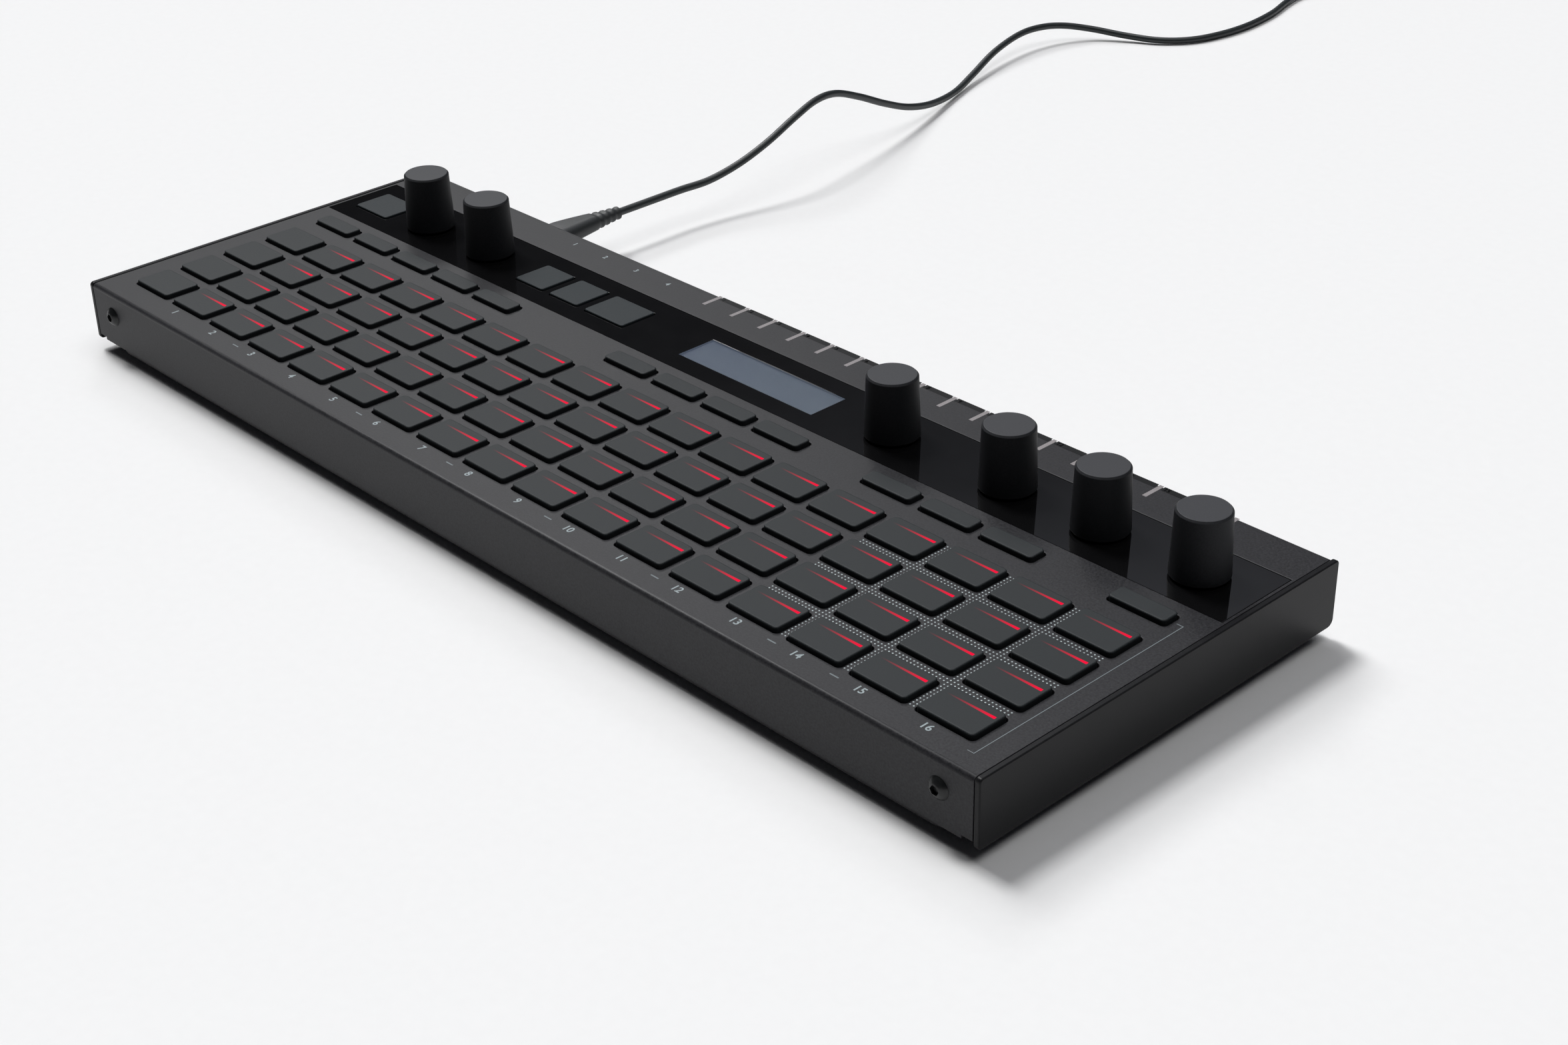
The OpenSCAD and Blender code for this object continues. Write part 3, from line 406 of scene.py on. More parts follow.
def cordLine(spec):
    p = [Vector(q) for q in spec["route"]]
    last = len(p) - 1
    line = []
    for i in range(last):
        a, b, c, d = p[max(i - 1, 0)], p[i], p[i + 1], p[min(i + 2, last)]
        for k in range(spec["perPoint"]):
            t = k / spec["perPoint"]
            line.append(0.5 * (2 * b + (c - a) * t + (2 * a - 5 * b + 4 * c - d) * t * t
                               + (3 * b - a - 3 * c + d) * t ** 3))
    pitch = spec["diameter"] + spec["gap"]
    middle = spec["turns"] / 2
    outerR = spec["innerR"] + pitch * middle
    centre = p[last] + Vector((-outerR, spec["diameter"], 0))
    line.append(p[last])
    steps = round(spec["turns"] * spec["perTurn"])
    for i in range(steps + 1):
        turn = spec["turns"] * i / steps
        r = spec["innerR"] + pitch * abs(turn - middle)
        rise = eased(min(1, max(0, (turn - middle) / spec["climb"] + 0.5)))
        angle = 2 * math.pi * turn
        line.append(centre + Vector((r * math.cos(angle), r * math.sin(angle), pitch * rise)))
    end = centre + Vector((-spec["out"], outerR, pitch))
    return line + [end + Vector((spec["diameter"], 0, 0)), end]


cordPoints = cordLine(cordSpec)
cordEnd = cordPoints[-1]
curve = bpy.data.curves.new("cord", "CURVE")
curve.dimensions = "3D"
curve.bevel_depth = cordSpec["diameter"] / 2 * mm
curve.bevel_resolution = 3
curve.use_fill_caps = True
spline = curve.splines.new("POLY")
spline.points.add(len(cordPoints) - 1)
for point, place in zip(spline.points, cordPoints):
    point.co = (*(place * mm), 1)
spline.use_smooth = True
cord = linked("cord", curve)
curve.materials.append(cordJacket)
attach(cord, "case")
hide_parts("cord_run", "cord_coil")


# Moulded plug: a flat body that narrows to a round strain relief, with grooves that let it bend. A lip is a list of
# steps along the plug, each with its inset
plugSpec = {"x": -117, "z": 11.7, "front": 59.8, "taper": 68.8, "end": 91, "bodyW": 10.5, "bodyH": 5.5, "endD": 4.0,
            "lip": ((0.0, 0.7), (0.12, 0.35), (0.35, 0.1), (0.7, 0.0)), "steps": 36, "bend": 0.35,
            "grooved": (0.55, 0.95), "groove": 0.28, "tail": 0.6}


def plugRings(spec):
    def ring(y, w, h):
        outline = roundedOutline(w, h, min(w, h) / 2 - hair, perCorner=8)
        return [(spec["x"] + px, y, spec["z"] + pz) for px, pz, _ in outline]

    rings = [ring(spec["front"] + y, spec["bodyW"] - 2 * inset, spec["bodyH"] - 2 * inset)
             for y, inset in spec["lip"]]
    for i in range(spec["steps"] + 1):
        t = i / spec["steps"]
        y = spec["taper"] + (spec["end"] - spec["taper"]) * t
        share = eased(t) * spec["bend"] + t * (1 - spec["bend"])
        w = spec["bodyW"] + (spec["endD"] - spec["bodyW"]) * share
        h = spec["bodyH"] + (spec["endD"] - spec["bodyH"]) * share
        low, high = spec["grooved"]
        groove = spec["groove"] if low < t < high and i % 4 in (1, 2) else 0.0
        rings.append(ring(y, w - 2 * groove, h - 2 * groove))
    return rings + [ring(spec["end"], spec["endD"] - spec["tail"], spec["endD"] - spec["tail"])]


plug = meshPiece("moulded_plug", skin("moulded_plug", plugRings(plugSpec)), plugMould, "case",
                 ("usb_plug",), 40)

# Plug at the far end: a moulded body with finger ribs, and a bright shell
farSpec = {"relief": 10.0, "reliefD": (4.0, 7.2), "reliefSteps": 8, "grooves": (2, 4, 6), "groove": 0.5,
           "bodyL": 22.0, "bodyW": 15.6, "under": 0.1, "corner": 2.0, "lip": ((0.0, 1.0), (0.3, 0.4), (1.0, 0.0)),
           "ribs": 5, "firstRib": 6, "ribStep": 2, "rib": ((0.0, 0.0), (0.3, 0.3), (0.7, 0.3), (1.0, 0.0)),
           "tail": ((-0.6, 0.0), (-0.15, 0.2), (0.0, 0.6)),
           "shellL": 12.0, "shellW": 12.0, "shellH": 4.5, "shellCorner": 0.5, "sunk": 0.5, "wall": 0.4,
           "mouth": 8.0, "mouthEdge": 0.1}


def farRing(x, w, h, r, perCorner=6):
    outline = roundedOutline(w, h, r, perCorner=perCorner)
    return [(cordEnd.x - x, cordEnd.y + py, cordEnd.z + pz) for py, pz, _ in outline]


def farPlugRings(spec):
    start, width, corner = spec["relief"], spec["bodyW"], spec["corner"]
    height = 2 * (cordEnd.z - spec["under"])
    thin, thick = spec["reliefD"]
    rings = []
    for i in range(spec["reliefSteps"] + 1):
        t = i / spec["reliefSteps"]
        d = thin + (thick - thin) * t - (spec["groove"] if i in spec["grooves"] else 0)
        rings.append(farRing(start * t, d, d, d / 2 - hair))
    for x, inset in spec["lip"]:
        rings.append(farRing(start + x, width - 2 * inset, height - 2 * inset, corner))
    for i in range(spec["ribs"]):
        x = start + spec["firstRib"] + i * spec["ribStep"]
        rings += [farRing(x + dx, width - 2 * inset, height, corner) for dx, inset in spec["rib"]]
    for x, inset in spec["tail"]:
        rings.append(farRing(start + spec["bodyL"] + x, width - 2 * inset, height - 2 * inset, corner))
    return rings


def farShellRings(spec):
    start = spec["relief"] + spec["bodyL"] - spec["sunk"]
    end = spec["relief"] + spec["bodyL"] + spec["shellL"]
    edge, wall = spec["mouthEdge"], spec["wall"]
    steps = ((start, 0.0), (end - edge, 0.0), (end, edge), (end, wall), (end - spec["mouth"], wall))
    return [farRing(x, spec["shellW"] - 2 * cut, spec["shellH"] - 2 * cut, spec["shellCorner"], 4)
            for x, cut in steps]


farPlug = meshPiece("far_plug_body", skin("far_plug_body", farPlugRings(farSpec)), plugMould, "case",
                    ("far_plug",), 40)
farShell = meshPiece("far_plug_shell", skin("far_plug_shell", farShellRings(farSpec)), nickelPlate, "case",
                     (), 40)

# Woven nylon tie round the coil, hooks and loops: a dull, fuzzy black. Its threads and fuzz are finer in truth and
# are drawn coarser, to show
tieSpec = {"width": 4.0, "thick": 0.45, "corner": 1.2, "innerCorner": 0.3, "clear": 0.02, "thread": 2.3675,
           "fuzz": 0.5, "dark": "#0d0d0e", "light": "#29292b"}


def tieFinish(spec):
    material, tree = startMaterial("nylonHookAndLoop")
    place = addNode(tree, "ShaderNodeTexCoord").outputs["Object"]
    wave = math.pi / 10                     # a wave texture's bands repeat at this distance
    threads = addNode(tree, "ShaderNodeTexWave",
                      {"wave_type": "BANDS", "Scale": wave / (spec["thread"] * mm), "Distortion": 0.6},
                      {"Vector": place})
    fuzz = addNode(tree, "ShaderNodeTexNoise", {"Scale": 1 / (spec["fuzz"] * mm)}, {"Vector": place})
    both = addNode(tree, "ShaderNodeMix", {"Factor": 0.5}, {"A": threads.outputs["Fac"], "B": fuzz.outputs["Fac"]})
    stops = ((0.0, hexColour(spec["dark"])), (1.0, hexColour(spec["light"])))
    tone = addNode(tree, "ShaderNodeValToRGB", {"stops": stops}, {"Fac": both.outputs["Result"]})
    relief = addNode(tree, "ShaderNodeBump", {"Distance": 0.08 * mm}, {"Height": both.outputs["Result"]})
    shader = addNode(tree, "ShaderNodeBsdfPrincipled", {"Roughness": 0.9, "Sheen Weight": 0.3},
                     {"Base Color": tone.outputs["Color"], "Normal": relief.outputs["Normal"]})
    addNode(tree, "ShaderNodeOutputMaterial", {}, {"Surface": shader.outputs["BSDF"]})
    return material


def tieMesh(spec):
    low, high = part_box("coil_tie")
    low, high = low / mm, high / mm
    middle = (low + high) / 2
    rings = []
    for side, cut in ((-1, 0.0), (1, 0.0), (1, spec["thick"]), (-1, spec["thick"]), (-1, 0.0)):
        less = 2 * cut + spec["clear"]
        outline = roundedOutline(high.y - low.y - less, high.z - low.z - less,
                                 max(spec["corner"] - cut, spec["innerCorner"]))
        x = middle.x + side * spec["width"] / 2
        rings.append([(x, middle.y + py, middle.z + pz) for py, pz, _ in outline])
    return edited(skin("coil_strap", rings, closed=False), mergeDoubles, turnOutward)


strap = meshPiece("coil_strap", tieMesh(tieSpec), tieFinish(tieSpec), "case", ("coil_tie",), 40)
print("plugs and strap made")

# Radius that paint or polish leaves on each edge, and how many steps it is drawn in
edgeSpec = {"cheek": (0.32, 3), "cover": (0.12, 2), "panel": (0.07, 2), "fromAngle": 40}


def unite(bm):
    bmesh.ops.dissolve_limit(bm, angle_limit=math.radians(0.3), verts=bm.verts, edges=bm.edges)


# Rounds the edges of a solid's copy
def softened(node, name, edge, finish):
    holder = linked(name, mergedCopy(node, unite))
    bevel = holder.modifiers.new("edges", "BEVEL")
    bevel.width = edge[0] * mm
    bevel.segments = edge[1]
    bevel.limit_method = "ANGLE"
    bevel.angle_limit = math.radians(edgeSpec["fromAngle"])
    bevel.use_clamp_overlap = False
    piece = meshPiece(name, plainMesh(holder), finish, "case", (node,))
    for face in piece.data.polygons:        # flat sheet stays flat beside its round edges
        face.use_smooth = max(abs(n) for n in face.normal) < 0.9999


# the cheeks take the coat painted darker for their shade
softened("right_cheek", "cheek_right", edgeSpec["cheek"], cheekCoatShadeDarkened)
softened("left_cheek", "cheek_left", edgeSpec["cheek"], cheekCoatShadeDarkened)
softened("top_cover", "folded_cover", edgeSpec["cover"], powderCoat)
softened("control_panel", "gloss_panel", edgeSpec["panel"], panelAcrylic)
print("case pieces softened")


# One tree repeats a piece on a grid of columns and rows
def repeatTree():
    tree = bpy.data.node_groups.new("repeatOnGrid", "GeometryNodeTree")
    for name, kind in (("Piece", "NodeSocketObject"), ("Columns", "NodeSocketInt"), ("Rows", "NodeSocketInt"),
                       ("Column step", "NodeSocketVector"), ("Row step", "NodeSocketVector"),
                       ("First", "NodeSocketVector"), ("Finish", "NodeSocketMaterial")):
        tree.interface.new_socket(name, in_out="INPUT", socket_type=kind)
    tree.interface.new_socket("Geometry", in_out="OUTPUT", socket_type="NodeSocketGeometry")
    given = addNode(tree, "NodeGroupInput").outputs
    across = addNode(tree, "GeometryNodeMeshLine", {"mode": "OFFSET"},
                     {"Count": given["Columns"], "Start Location": given["First"], "Offset": given["Column step"]})
    down = addNode(tree, "GeometryNodeMeshLine", {"mode": "OFFSET"},
                   {"Count": given["Rows"], "Offset": given["Row step"]})
    lattice = addNode(tree, "GeometryNodeInstanceOnPoints", {},
                      {"Points": across.outputs["Mesh"], "Instance": down.outputs["Mesh"]})
    spots = addNode(tree, "GeometryNodeRealizeInstances", {}, {"Geometry": lattice.outputs["Instances"]})
    piece = addNode(tree, "GeometryNodeObjectInfo", {}, {"Object": given["Piece"]})
    copies = addNode(tree, "GeometryNodeInstanceOnPoints", {},
                     {"Points": spots.outputs["Geometry"], "Instance": piece.outputs["Geometry"]})
    whole = addNode(tree, "GeometryNodeRealizeInstances", {}, {"Geometry": copies.outputs["Instances"]})
    painted = addNode(tree, "GeometryNodeSetMaterial", {},
                      {"Geometry": whole.outputs["Geometry"], "Material": given["Finish"]})
    addNode(tree, "NodeGroupOutput", {}, {"Geometry": painted.outputs["Geometry"]})
    return tree


gridTree = repeatTree()


def repeated(name, patternMesh, finish, first, columns=1, rows=1, columnStep=(0, 0, 0), rowStep=(0, 0, 0)):
    pattern = linked(name + "_pattern", patternMesh)
    holder = linked(name, bpy.data.meshes.new(name))
    modifier = holder.modifiers.new("repeat", "NODES")
    modifier.node_group = gridTree
    values = {"Piece": pattern, "Columns": columns, "Rows": rows, "Column step": [s * mm for s in columnStep],
              "Row step": [s * mm for s in rowStep], "First": [s * mm for s in first], "Finish": finish}
    for item in gridTree.interface.items_tree:
        if item.in_out == "INPUT":
            modifier[item.identifier] = values[item.name]
    mesh = plainMesh(holder)
    bpy.data.objects.remove(pattern)
    return mesh


# A key: post, hidden flange, cap with a rolled top edge, and a map over the cap for its light
keySpec = {"colPitch": 18.92, "rowPitch": 14.2, "firstRow": -44.65, "narrowRow": 13.0, "middle": 8, "top": 21.5,
           "flangeTop": 18.8, "flangeT": 1.2, "lap": 0.9, "edge": 0.38, "edgeSteps": 5, "straight": 0.05,
           "band": 0.06, "corner": 1.05, "post": 2.0, "postD": 4.0}
narrowSpec = dict(keySpec, postD=3.0, depth=5.2, columns=(0, 1, 2, 3, 4, 7, 8, 9, 10, 12, 13, 14, 16))
panelKeySpec = dict(keySpec, top=20.7, flangeTop=17.9, flangeT=1.0, lap=0.6, edge=0.35, corner=0.85, post=0,
                    depth=12, columnsAndWidths=((-0.17, 15), (3.83, 12), (4.62, 12), (5.53, 16)))
panelY = 32.7


def keyMesh(name, w, d, spec):
    top, flangeTop, corner = spec["top"], spec["flangeTop"], spec["corner"]
    edge, lap = spec["edge"], spec["lap"]
    under = flangeTop - spec["flangeT"]
    flange = (w + 2 * lap, d + 2 * lap, corner + lap / 2)
    capRound = 0.8                          # the corners tighten less than the cap's edge rolls in
    rings = []
    if spec["post"]:
        postCircle = circle(spec["postD"] / 2, len(roundedOutline(w, d, corner)), 0.5)
        rings += [[(x, y, z) for x, y in postCircle] for z in (under - spec["post"], under)]
    rings += [roundedOutline(*flange, under), roundedOutline(*flange, flangeTop),
              roundedOutline(w, d, corner, flangeTop),
              roundedOutline(w, d, corner, top - edge - spec["straight"])]
    for i in range(spec["edgeSteps"] + 1):
        angle = math.pi / 2 * i / spec["edgeSteps"]
        inset = edge * (1 - math.cos(angle))
        rings.append(roundedOutline(w - 2 * inset, d - 2 * inset, corner - inset * capRound,
                                    top - edge + edge * math.sin(angle)))
    inset = edge + spec["band"]             # a narrow flat band keeps the roll's shading off the cap's face
    rings.append(roundedOutline(w - 2 * inset, d - 2 * inset, corner - edge * capRound, top))
    mesh = skin(name, rings)
    layer = mesh.uv_layers.new(name="padMap")
    for loop in mesh.loops:
        place = mesh.vertices[loop.vertex_index].co / mm
        layer.data[loop.index].uv = (place.x / w + 0.5, place.y / d + 0.5)
    return mesh


def columnX(column):
    return (column - keySpec["middle"]) * keySpec["colPitch"]


# The lit pads move in eights: the name and the first pad's place of each half row
halfRows = [(f"pads_row_{row + 1}_{side}", (columnX(column), keySpec["firstRow"] + row * keySpec["rowPitch"]))
            for row in range(4) for side, column in (("left", 1), ("right", 9))]
trackPlace = (columnX(0), keySpec["firstRow"])
narrowPlaces = [(columnX(column), keySpec["narrowRow"]) for column in narrowSpec["columns"]]
columnStep = (keySpec["colPitch"], 0, 0)
rowStep = (0, keySpec["rowPitch"], 0)

padMesh = keyMesh("padPattern", padGlow["padW"], padGlow["padD"], keySpec)
for name, place in halfRows:
    mesh = repeated(name + "_caps", padMesh, padLit, (*place, 0), columns=8, columnStep=columnStep)
    meshPiece(name + "_caps", mesh, padLit, name + "_unit", (name,), 40)
mesh = repeated("track_pad_caps", padMesh, padPlain, (*trackPlace, 0), rows=4, rowStep=rowStep)
meshPiece("track_pad_caps", mesh, padPlain, "track_pads_unit", ("track_pads",), 40)

narrowMesh = keyMesh("narrowPattern", padGlow["padW"], narrowSpec["depth"], narrowSpec)
for i, place in enumerate(narrowPlaces, 1):
    name = f"narrow_button_{i}"
    mesh = repeated(name + "_cap", narrowMesh, padPlain, (*place, 0))
    meshPiece(name + "_cap", mesh, padPlain, name + "_unit", (name,), 40)

for i, (column, width) in enumerate(panelKeySpec["columnsAndWidths"], 1):
    name = f"panel_button_{i}"
    mesh = keyMesh(name + "_cap", width, panelKeySpec["depth"], panelKeySpec)
    mesh.transform(Matrix.Translation((columnX(column) * mm, panelY * mm, 0)))
    meshPiece(name + "_cap", mesh, buttonSilicone, name + "_unit", (name,), 40)
print("pads and buttons made")


# The silicone mat under the keys: a flat sheet, and domes that buckle as their keys go down
domeSpec = {"foot": 12.7, "sheetTop": 12.8, "top": 15.5, "keep": 0.53, "baseR": 3.75, "tipR": 2.25, "sides": 24,
            "footRound": (0.3, 0.5), "tipRound": ((0.1, 0.8), (0.0, 0.3), (-0.3, 0.0)), "cutOver": 0.005}
narrowDomeSpec = dict(domeSpec, baseR=2.35, tipR=1.65)
panelDomeSpec = dict(domeSpec, top=16.8, keep=0.77)


def domeMesh(spec):
    inward, up = spec["footRound"]
    profile = [(spec["baseR"], spec["foot"]), (spec["baseR"] - inward, spec["foot"] + up)]
    profile += [(spec["tipR"] + out, spec["top"] - down) for out, down in spec["tipRound"]]
    return skin("domePattern", [[(x, y, z) for x, y in circle(r, spec["sides"])] for r, z in profile])


def addDomes(name, pattern, place, columns=1, rows=1):
    mesh = repeated(name, pattern, matSilicone, (*place, 0), columns, rows, columnStep, rowStep)
    piece = meshPiece(name, mesh, matSilicone, "case", (), 40)
    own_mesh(piece)


# Cuts the domes off a copy of the solid and closes the holes that they leave
def cutDomes(bm):
    bmesh.ops.bisect_plane(bm, geom=bm.verts[:] + bm.edges[:] + bm.faces[:],
                           plane_co=(0, 0, (domeSpec["sheetTop"] + domeSpec["cutOver"]) * mm),
                           plane_no=(0, 0, 1), clear_outer=True)
    bmesh.ops.holes_fill(bm, edges=[e for e in bm.edges if e.is_boundary], sides=0)


meshPiece("mat_sheet", mergedCopy("dome_mat", cutDomes, turnOutward), matSilicone, "case",
          ("dome_mat",))
pattern = domeMesh(domeSpec)
for name, place in halfRows:
    addDomes(name + "_domes", pattern, place, columns=8)
addDomes("track_pad_domes", pattern, trackPlace, rows=4)
pattern = domeMesh(narrowDomeSpec)
for i, place in enumerate(narrowPlaces, 1):
    addDomes(f"narrow_button_{i}_dome", pattern, place)
pattern = domeMesh(panelDomeSpec)
for i, (column, width) in enumerate(panelKeySpec["columnsAndWidths"], 1):
    addDomes(f"panel_button_{i}_dome", pattern,
             (columnX(column), panelY))
print("mat and domes made")


# Knobs: tapered, with a crisp chamfer round the flat top and a hollow skirt. The rounds are steps inward and up or
# down from the foot, the rim and the top
knobSpec = {"columns": (1, 2.5, 11, 13, 14.5, 16), "baseR": 7.1, "rimR": 6.5, "low": 20.9, "high": 37.2,
            "chamfer": 0.48, "sides": 96, "boreR": 3.04, "roof": 4.1, "hubR": 4.5, "hubLift": 0.4, "hollowR": 5.75,
            "hollow": 4.4, "mouthCut": 0.1, "footRound": ((0.2, 0.0), (0.06, 0.06), (0.0, 0.25)),
            "rimRound": ((0.0, -0.03), (0.03, 0.035)), "topRound": ((-0.05, 0.045), (0.06, 0.0), (0.3, 0.0)),
            "topLayer": 0.1}


def knobMesh(name, x, spec):
    low, high, cut = spec["low"], spec["high"], spec["chamfer"]
    boreR, hubR, hollowR = spec["boreR"], spec["hubR"], spec["hollowR"]
    hub, ceiling, mouth = low + spec["hubLift"], low + spec["hollow"], spec["mouthCut"]
    profile = [(boreR, high - spec["roof"]), (boreR, hub), (hubR, hub), (hubR, ceiling), (hollowR, ceiling),
               (hollowR, low + mouth), (hollowR + mouth, low)]
    profile += [(spec["baseR"] - inward, low + up) for inward, up in spec["footRound"]]
    profile += [(spec["rimR"] - inward, high - cut + up) for inward, up in spec["rimRound"]]
    profile += [(spec["rimR"] - cut - inward, high - down) for inward, down in spec["topRound"]]
    return skin(name, [[(x + px, panelY + py, z) for px, py in circle(r, spec["sides"])] for r, z in profile])


for i, column in enumerate(knobSpec["columns"], 1):
    name = f"knob_{i}_cap"
    knob = meshPiece(name, knobMesh(name, columnX(column), knobSpec), knobPlastic, f"knob_{i}_unit",
                     (f"knob_{i}",), 12)
    knob.data.materials.append(knobTopPaintedLit)
    for face in knob.data.polygons:
        if face.normal.z > 0.9 and face.center.z > (knobSpec["high"] - knobSpec["topLayer"]) * mm:
            face.material_index = 1         # the flat top, painted paler for the light it catches
print("knobs made")


# Prints on the cover: dots, lines, numerals and the marks over the jacks, each a thin film of ink. Runs are the
# first step and the number of dots, counted from the first crossing of two bands
printSpec = {"z": 20.3, "film": 0.02}
dotSpec = {"diameter": 0.42, "sides": 8, "across": 18, "down": 14, "column": 13.5, "bands": 3,
           "downRuns": ((-11, 11), (2, 12), (16, 12), (30, 11)), "acrossRun": (-15, 68)}
bracketSpec = {"lineW": 0.18, "x": 162.25, "arm": 160.6, "front": -53.0, "rear": 13.1}
dashSpec = {"columns": (2.5, 5.5, 7.5, 9.5, 11.5, 13.5, 14.5), "half": 1.3, "front": -52.95, "rear": -52.6}
jackMarkSpec = {"first": -34, "step": 11, "jacks": 16, "tickHalf": 0.6, "tickY": 52.0, "tickL": 6.8,
                "stripGap": 0.9, "stripY": 56.9, "stripD": 1.9}
# Each row of numerals: how many, the first one's place, the step to the next and the height
numeralSpec = {"bold": 0.045, "sizePerHeight": 1.4, "steps": (16, columnX(1) - 2, -53.7, keySpec["colPitch"], 2.2),
               "jacks": ((16, -31.7, 57.15, 11, 1.3), (4, -91.5, 53.2, 13.5, 1.7))}
printZ, film = printSpec["z"], printSpec["film"]


def inkFilm(outline, z=0.0):
    return skin("film", [[(x, y, height) for x, y in outline] for height in (z, z + film)])


def strip(x0, x1, y0, y1):
    return [(x0, y0), (x1, y0), (x1, y1), (x0, y1)]


def addPrint(name, meshes, finish):
    bm = bmesh.new()
    for mesh in meshes:
        bm.from_mesh(mesh)
    whole = bpy.data.meshes.new(name)
    bm.to_mesh(whole)
    bm.free()
    meshPiece(name, whole, finish, "case")


def dotBands(spec):
    dot = inkFilm(circle(spec["diameter"] / 2, spec["sides"]))
    dx, dy = keySpec["colPitch"] / spec["across"], keySpec["rowPitch"] / spec["down"]
    x0 = columnX(spec["column"]) - dx / 2
    y0 = keySpec["firstRow"] + keySpec["rowPitch"] / 2 - dy / 2
    runs = []
    for band in range(spec["bands"]):
        x, y = x0 + band * keySpec["colPitch"], y0 + band * keySpec["rowPitch"]
        runs += [(x, y0 + start * dy, 2, count) for start, count in spec["downRuns"]]
        runs.append((x0 + spec["acrossRun"][0] * dx, y, spec["acrossRun"][1], 2))
    return [repeated("dots", dot, dotInk, (x, y, printZ), columns, rows, (dx, 0, 0), (0, dy, 0))
            for x, y, columns, rows in runs]


def lineStrips(bracket, dash):
    x, arm, front, rear, w = (bracket[key] for key in ("x", "arm", "front", "rear", "lineW"))
    strips = [strip(x, x + w, front, rear), strip(arm, x, front, front + w), strip(arm, x, rear - w, rear)]
    strips += [strip(columnX(column) - dash["half"], columnX(column) + dash["half"], dash["front"], dash["rear"])
               for column in dash["columns"]]
    return [inkFilm(outline, printZ) for outline in strips]


def jackMarks(name, outline, finish, y, count, spec):
    return repeated(name, inkFilm(outline), finish, (spec["first"], y, printZ), count, 1, (spec["step"], 0, 0))


def numeral(text, x, y, height):
    data = bpy.data.curves.new("numeral", "FONT")
    data.body = text
    data.size = height * numeralSpec["sizePerHeight"] * mm
    data.align_x = "CENTER"
    data.extrude = film / 2 * mm
    data.offset = numeralSpec["bold"] * mm
    data.resolution_u = 3
    mesh = plainMesh(linked("numeral", data))
    mesh.transform(Matrix.Translation((x * mm, y * mm, (printZ + film / 2) * mm)))
    return mesh


def numeralRow(count, x, y, step, height):
    return [numeral(str(i + 1), x + step * i, y, height) for i in range(count)]


addPrint("print_dots", dotBands(dotSpec), dotInk)
addPrint("print_lines", lineStrips(bracketSpec, dashSpec), lineInk)
marks = jackMarkSpec
tick = strip(-marks["tickHalf"], marks["tickHalf"], 0, marks["tickL"])
ticks = jackMarks("ticks", tick, markInk, marks["tickY"], marks["jacks"] + 1, marks)
addPrint("print_ticks", [ticks], markInk)
backing = strip(marks["stripGap"], marks["step"] - marks["stripGap"], 0, marks["stripD"])
addPrint("print_strips", [jackMarks("strips", backing, stripInk, marks["stripY"], marks["jacks"], marks)], stripInk)
addPrint("print_step_numerals", numeralRow(*numeralSpec["steps"]), numeralInk)
addPrint("print_jack_numerals", [mesh for row in numeralSpec["jacks"] for mesh in numeralRow(*row)], numeralInk)
print("prints made")


# Button-head screws in the front wall: a low dome with a hex socket
screwSpec = {"x": 158.6, "y": -59, "z": 13.1, "headD": 5.6, "headH": 1.5, "hexKey": 2.0, "hexDepth": 1.0,
             "shankD": 2.92, "shankL": 6.0, "tipCut": 0.3, "underCut": 0.08, "around": 48,
             "domeRs": (2.77, 2.6, 2.3, 2.0, 1.7, 1.45, 1.32), "hexRimR": 1.2, "hexRimCut": 0.1, "hexRimWide": 0.12}


def screwMesh(name, spec):
    headR, headH, shankR, tip = spec["headD"] / 2, spec["headH"], spec["shankD"] / 2, spec["tipCut"]
    domeR = (headR * headR + headH * headH) / (2 * headH)

    def turned(r, out):
        return [(x, -out, z) for x, z in circle(r, spec["around"])]

    def hexed(key, out):
        points = []
        for k in range(spec["around"]):
            angle = 2 * math.pi * k / spec["around"]
            r = key / 2 / math.cos(angle % (math.pi / 3) - math.pi / 6)
            points.append((r * math.cos(angle), -out, r * math.sin(angle)))
        return points

    def rise(r):
        return headH - domeR + math.sqrt(domeR * domeR - r * r)

    rim = rise(spec["hexRimR"])
    rings = [turned(shankR - tip, -spec["shankL"]), turned(shankR, -spec["shankL"] + tip), turned(shankR, 0),
             turned(headR - spec["underCut"], 0)]
    rings += [turned(r, rise(r)) for r in spec["domeRs"]]
    rings += [hexed(spec["hexKey"] + spec["hexRimWide"], rim), hexed(spec["hexKey"], rim - spec["hexRimCut"]),
              hexed(spec["hexKey"], headH - spec["hexDepth"])]
    return skin(name, rings)


mesh = repeated("front_screw_heads", screwMesh("screwPattern", screwSpec), blackOxide,
                (-screwSpec["x"], screwSpec["y"], screwSpec["z"]), 2, 1, (2 * screwSpec["x"], 0, 0))
meshPiece("front_screw_heads", mesh, blackOxide, "case", ("front_screws",), 40)
print("screws made")

# Solids whose shape is right keep it and take their finish here
plainSolids = {"base_pan": powderCoat, "feet": footRubber, "chassis_screws": blackOxide, "display_lens": lensClear,
               "display_module": displayGlow, "panel_board": boardMask, "jack_board": boardMask,
               "encoders": nickelPlate, "rear_jacks": jackNylon, "jack_nuts": nickelPlate,
               "usb_socket": nickelPlate}
plainSolids.update({f"shaft_{i + 1}": nickelPlate for i in range(len(knobSpec["columns"]))})
for name, finish in plainSolids.items():
    nodes[name].data.materials.clear()
    nodes[name].data.materials.append(finish)

# Floor of pale seamless paper: matte, with faint fibres, which are drawn coarse, at 3 mm
floorSpec = {"half": 4.0, "fibre": 3, "dark": "#f3f3f3", "light": "#f6f6f6"}


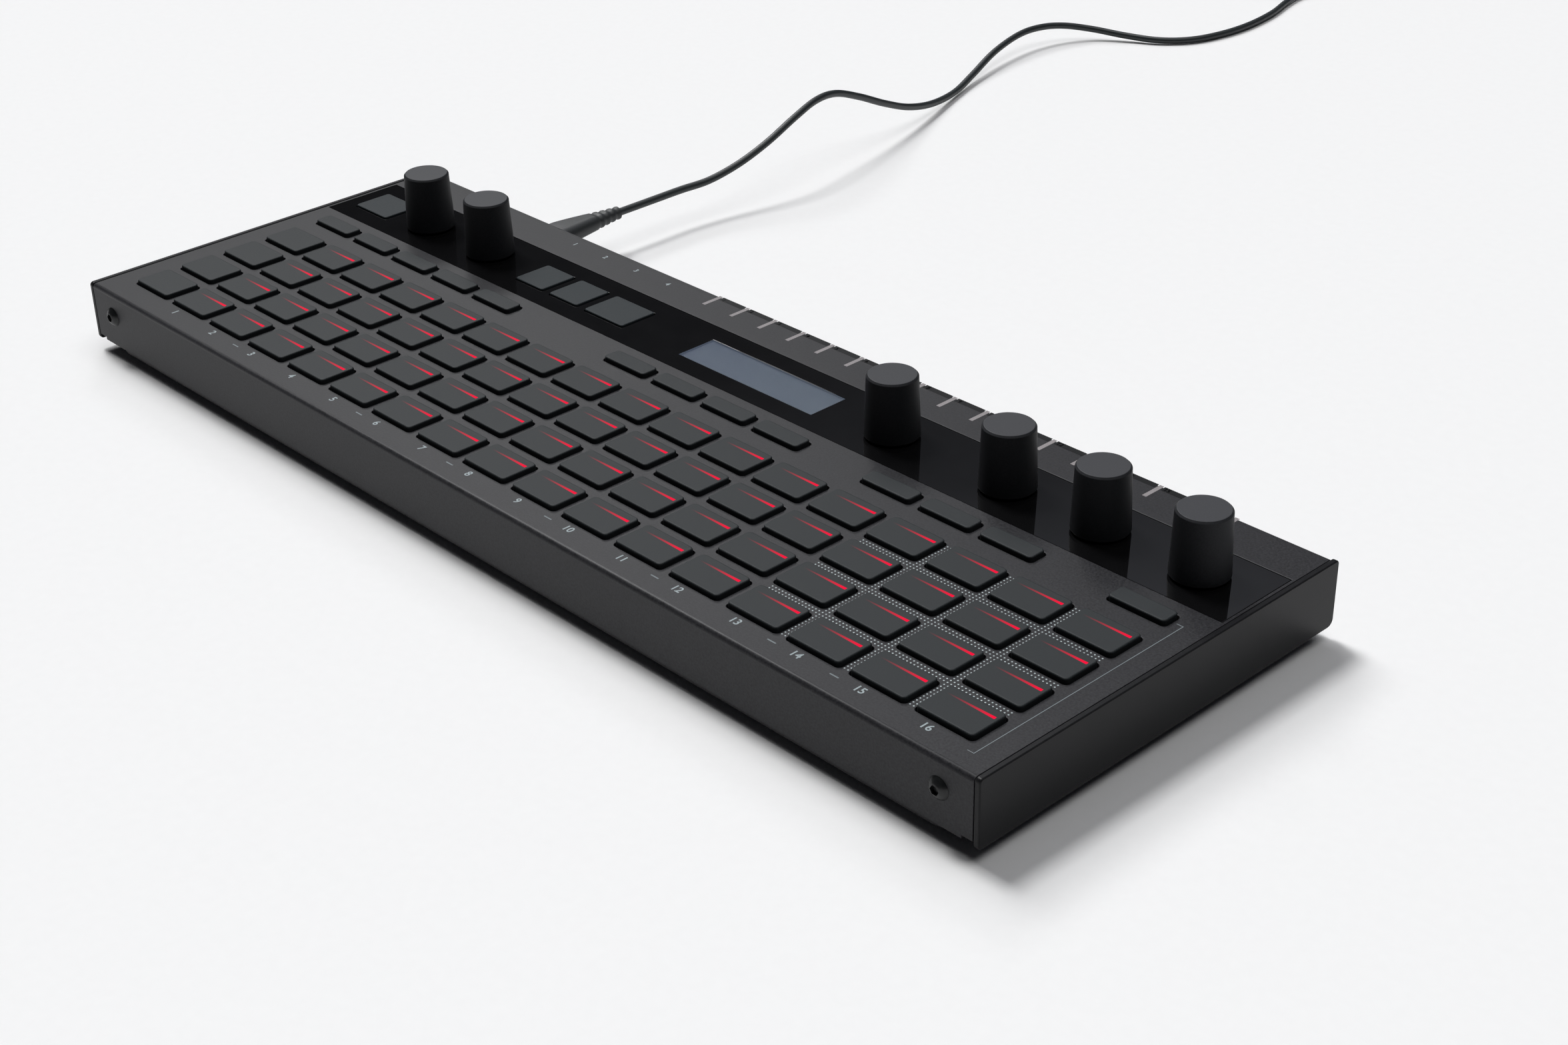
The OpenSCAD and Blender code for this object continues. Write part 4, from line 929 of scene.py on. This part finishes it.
def addFloor(spec):
    material, tree = startMaterial("paperSeamlessWhite")
    place = addNode(tree, "ShaderNodeTexCoord")
    fibre = addNode(tree, "ShaderNodeTexNoise", {"Scale": 1 / (spec["fibre"] * mm), "Detail": 2.0},
                    {"Vector": place.outputs["Object"]})
    stops = ((0.0, hexColour(spec["dark"])), (1.0, hexColour(spec["light"])))
    tone = addNode(tree, "ShaderNodeValToRGB", {"stops": stops}, {"Fac": fibre.outputs["Fac"]})
    shader = addNode(tree, "ShaderNodeBsdfPrincipled", {"Roughness": 0.8, "Specular IOR Level": 0.2},
                     {"Base Color": tone.outputs["Color"]})
    addNode(tree, "ShaderNodeOutputMaterial", {}, {"Surface": shader.outputs["BSDF"]})
    half = spec["half"]
    mesh = bpy.data.meshes.new("floor")
    mesh.from_pydata([(-half, -half, 0), (half, -half, 0), (half, half, 0), (-half, half, 0)], [], [(0, 1, 2, 3)])
    mesh.materials.append(material)
    linked("floor", mesh)


# Softboxes far enough away to light the floor evenly: slope is how far each leans per unit of height, share its
# part of the floor's light, and spread the angle in degrees that it fills
lampSpec = ({"name": "softboxKey", "slope": (-0.52, 0.08), "spread": 14, "share": 0.43},
            {"name": "softboxLeft", "slope": (-0.9, 0.22), "spread": 22, "share": 0.22},
            {"name": "softboxLow", "slope": (-1.1, 0.8), "spread": 14, "share": 0.06},
            {"name": "softboxRear", "slope": (0.25, 0.12), "spread": 40, "share": 0.22})
lampAway = 3                                # metres


def addLamp(spec):
    data = bpy.data.lights.new(spec["name"], "SUN")
    way = Vector((*spec["slope"], 1)).normalized()
    data.angle = math.radians(spec["spread"])
    data.energy = math.pi * spec["share"] / way.z
    lamp = linked(spec["name"], data)
    lamp.matrix_world = Matrix.Translation(way * lampAway) @ way.to_track_quat("Z", "Y").to_matrix().to_4x4()


# A dark room with one pale patch high at the rear left, which the gloss panel mirrors
roomSpec = {"towards": (-0.3, 0.45, 0.84), "tint": (0.95, 0.98, 1.1),
            "levels": ((0.7, 0.02), (0.78, 0.02), (0.84, 0.035), (0.875, 0.12), (0.905, 0.33))}


def addWorld(spec):
    world = bpy.data.worlds.new("studioRoom")
    scene.world = world
    world.use_nodes = True
    tree = world.node_tree
    tree.nodes.clear()
    way = addNode(tree, "ShaderNodeTexCoord")
    towards = Vector(spec["towards"]).normalized()
    near = addNode(tree, "ShaderNodeVectorMath", {"operation": "DOT_PRODUCT", 1: towards},
                   {0: way.outputs["Generated"]})
    stops = [(place, [level * t for t in spec["tint"]] + [1]) for place, level in spec["levels"]]
    tone = addNode(tree, "ShaderNodeValToRGB", {"stops": stops}, {"Fac": near.outputs["Value"]})
    back = addNode(tree, "ShaderNodeBackground", {"Strength": 1.0}, {"Color": tone.outputs["Color"]})
    addNode(tree, "ShaderNodeOutputWorld", {}, {"Surface": back.outputs["Background"]})


addFloor(floorSpec)
for spec in lampSpec:
    addLamp(spec)
addWorld(roomSpec)
scene.view_settings.view_transform = "Standard"
print("floor and lights made")
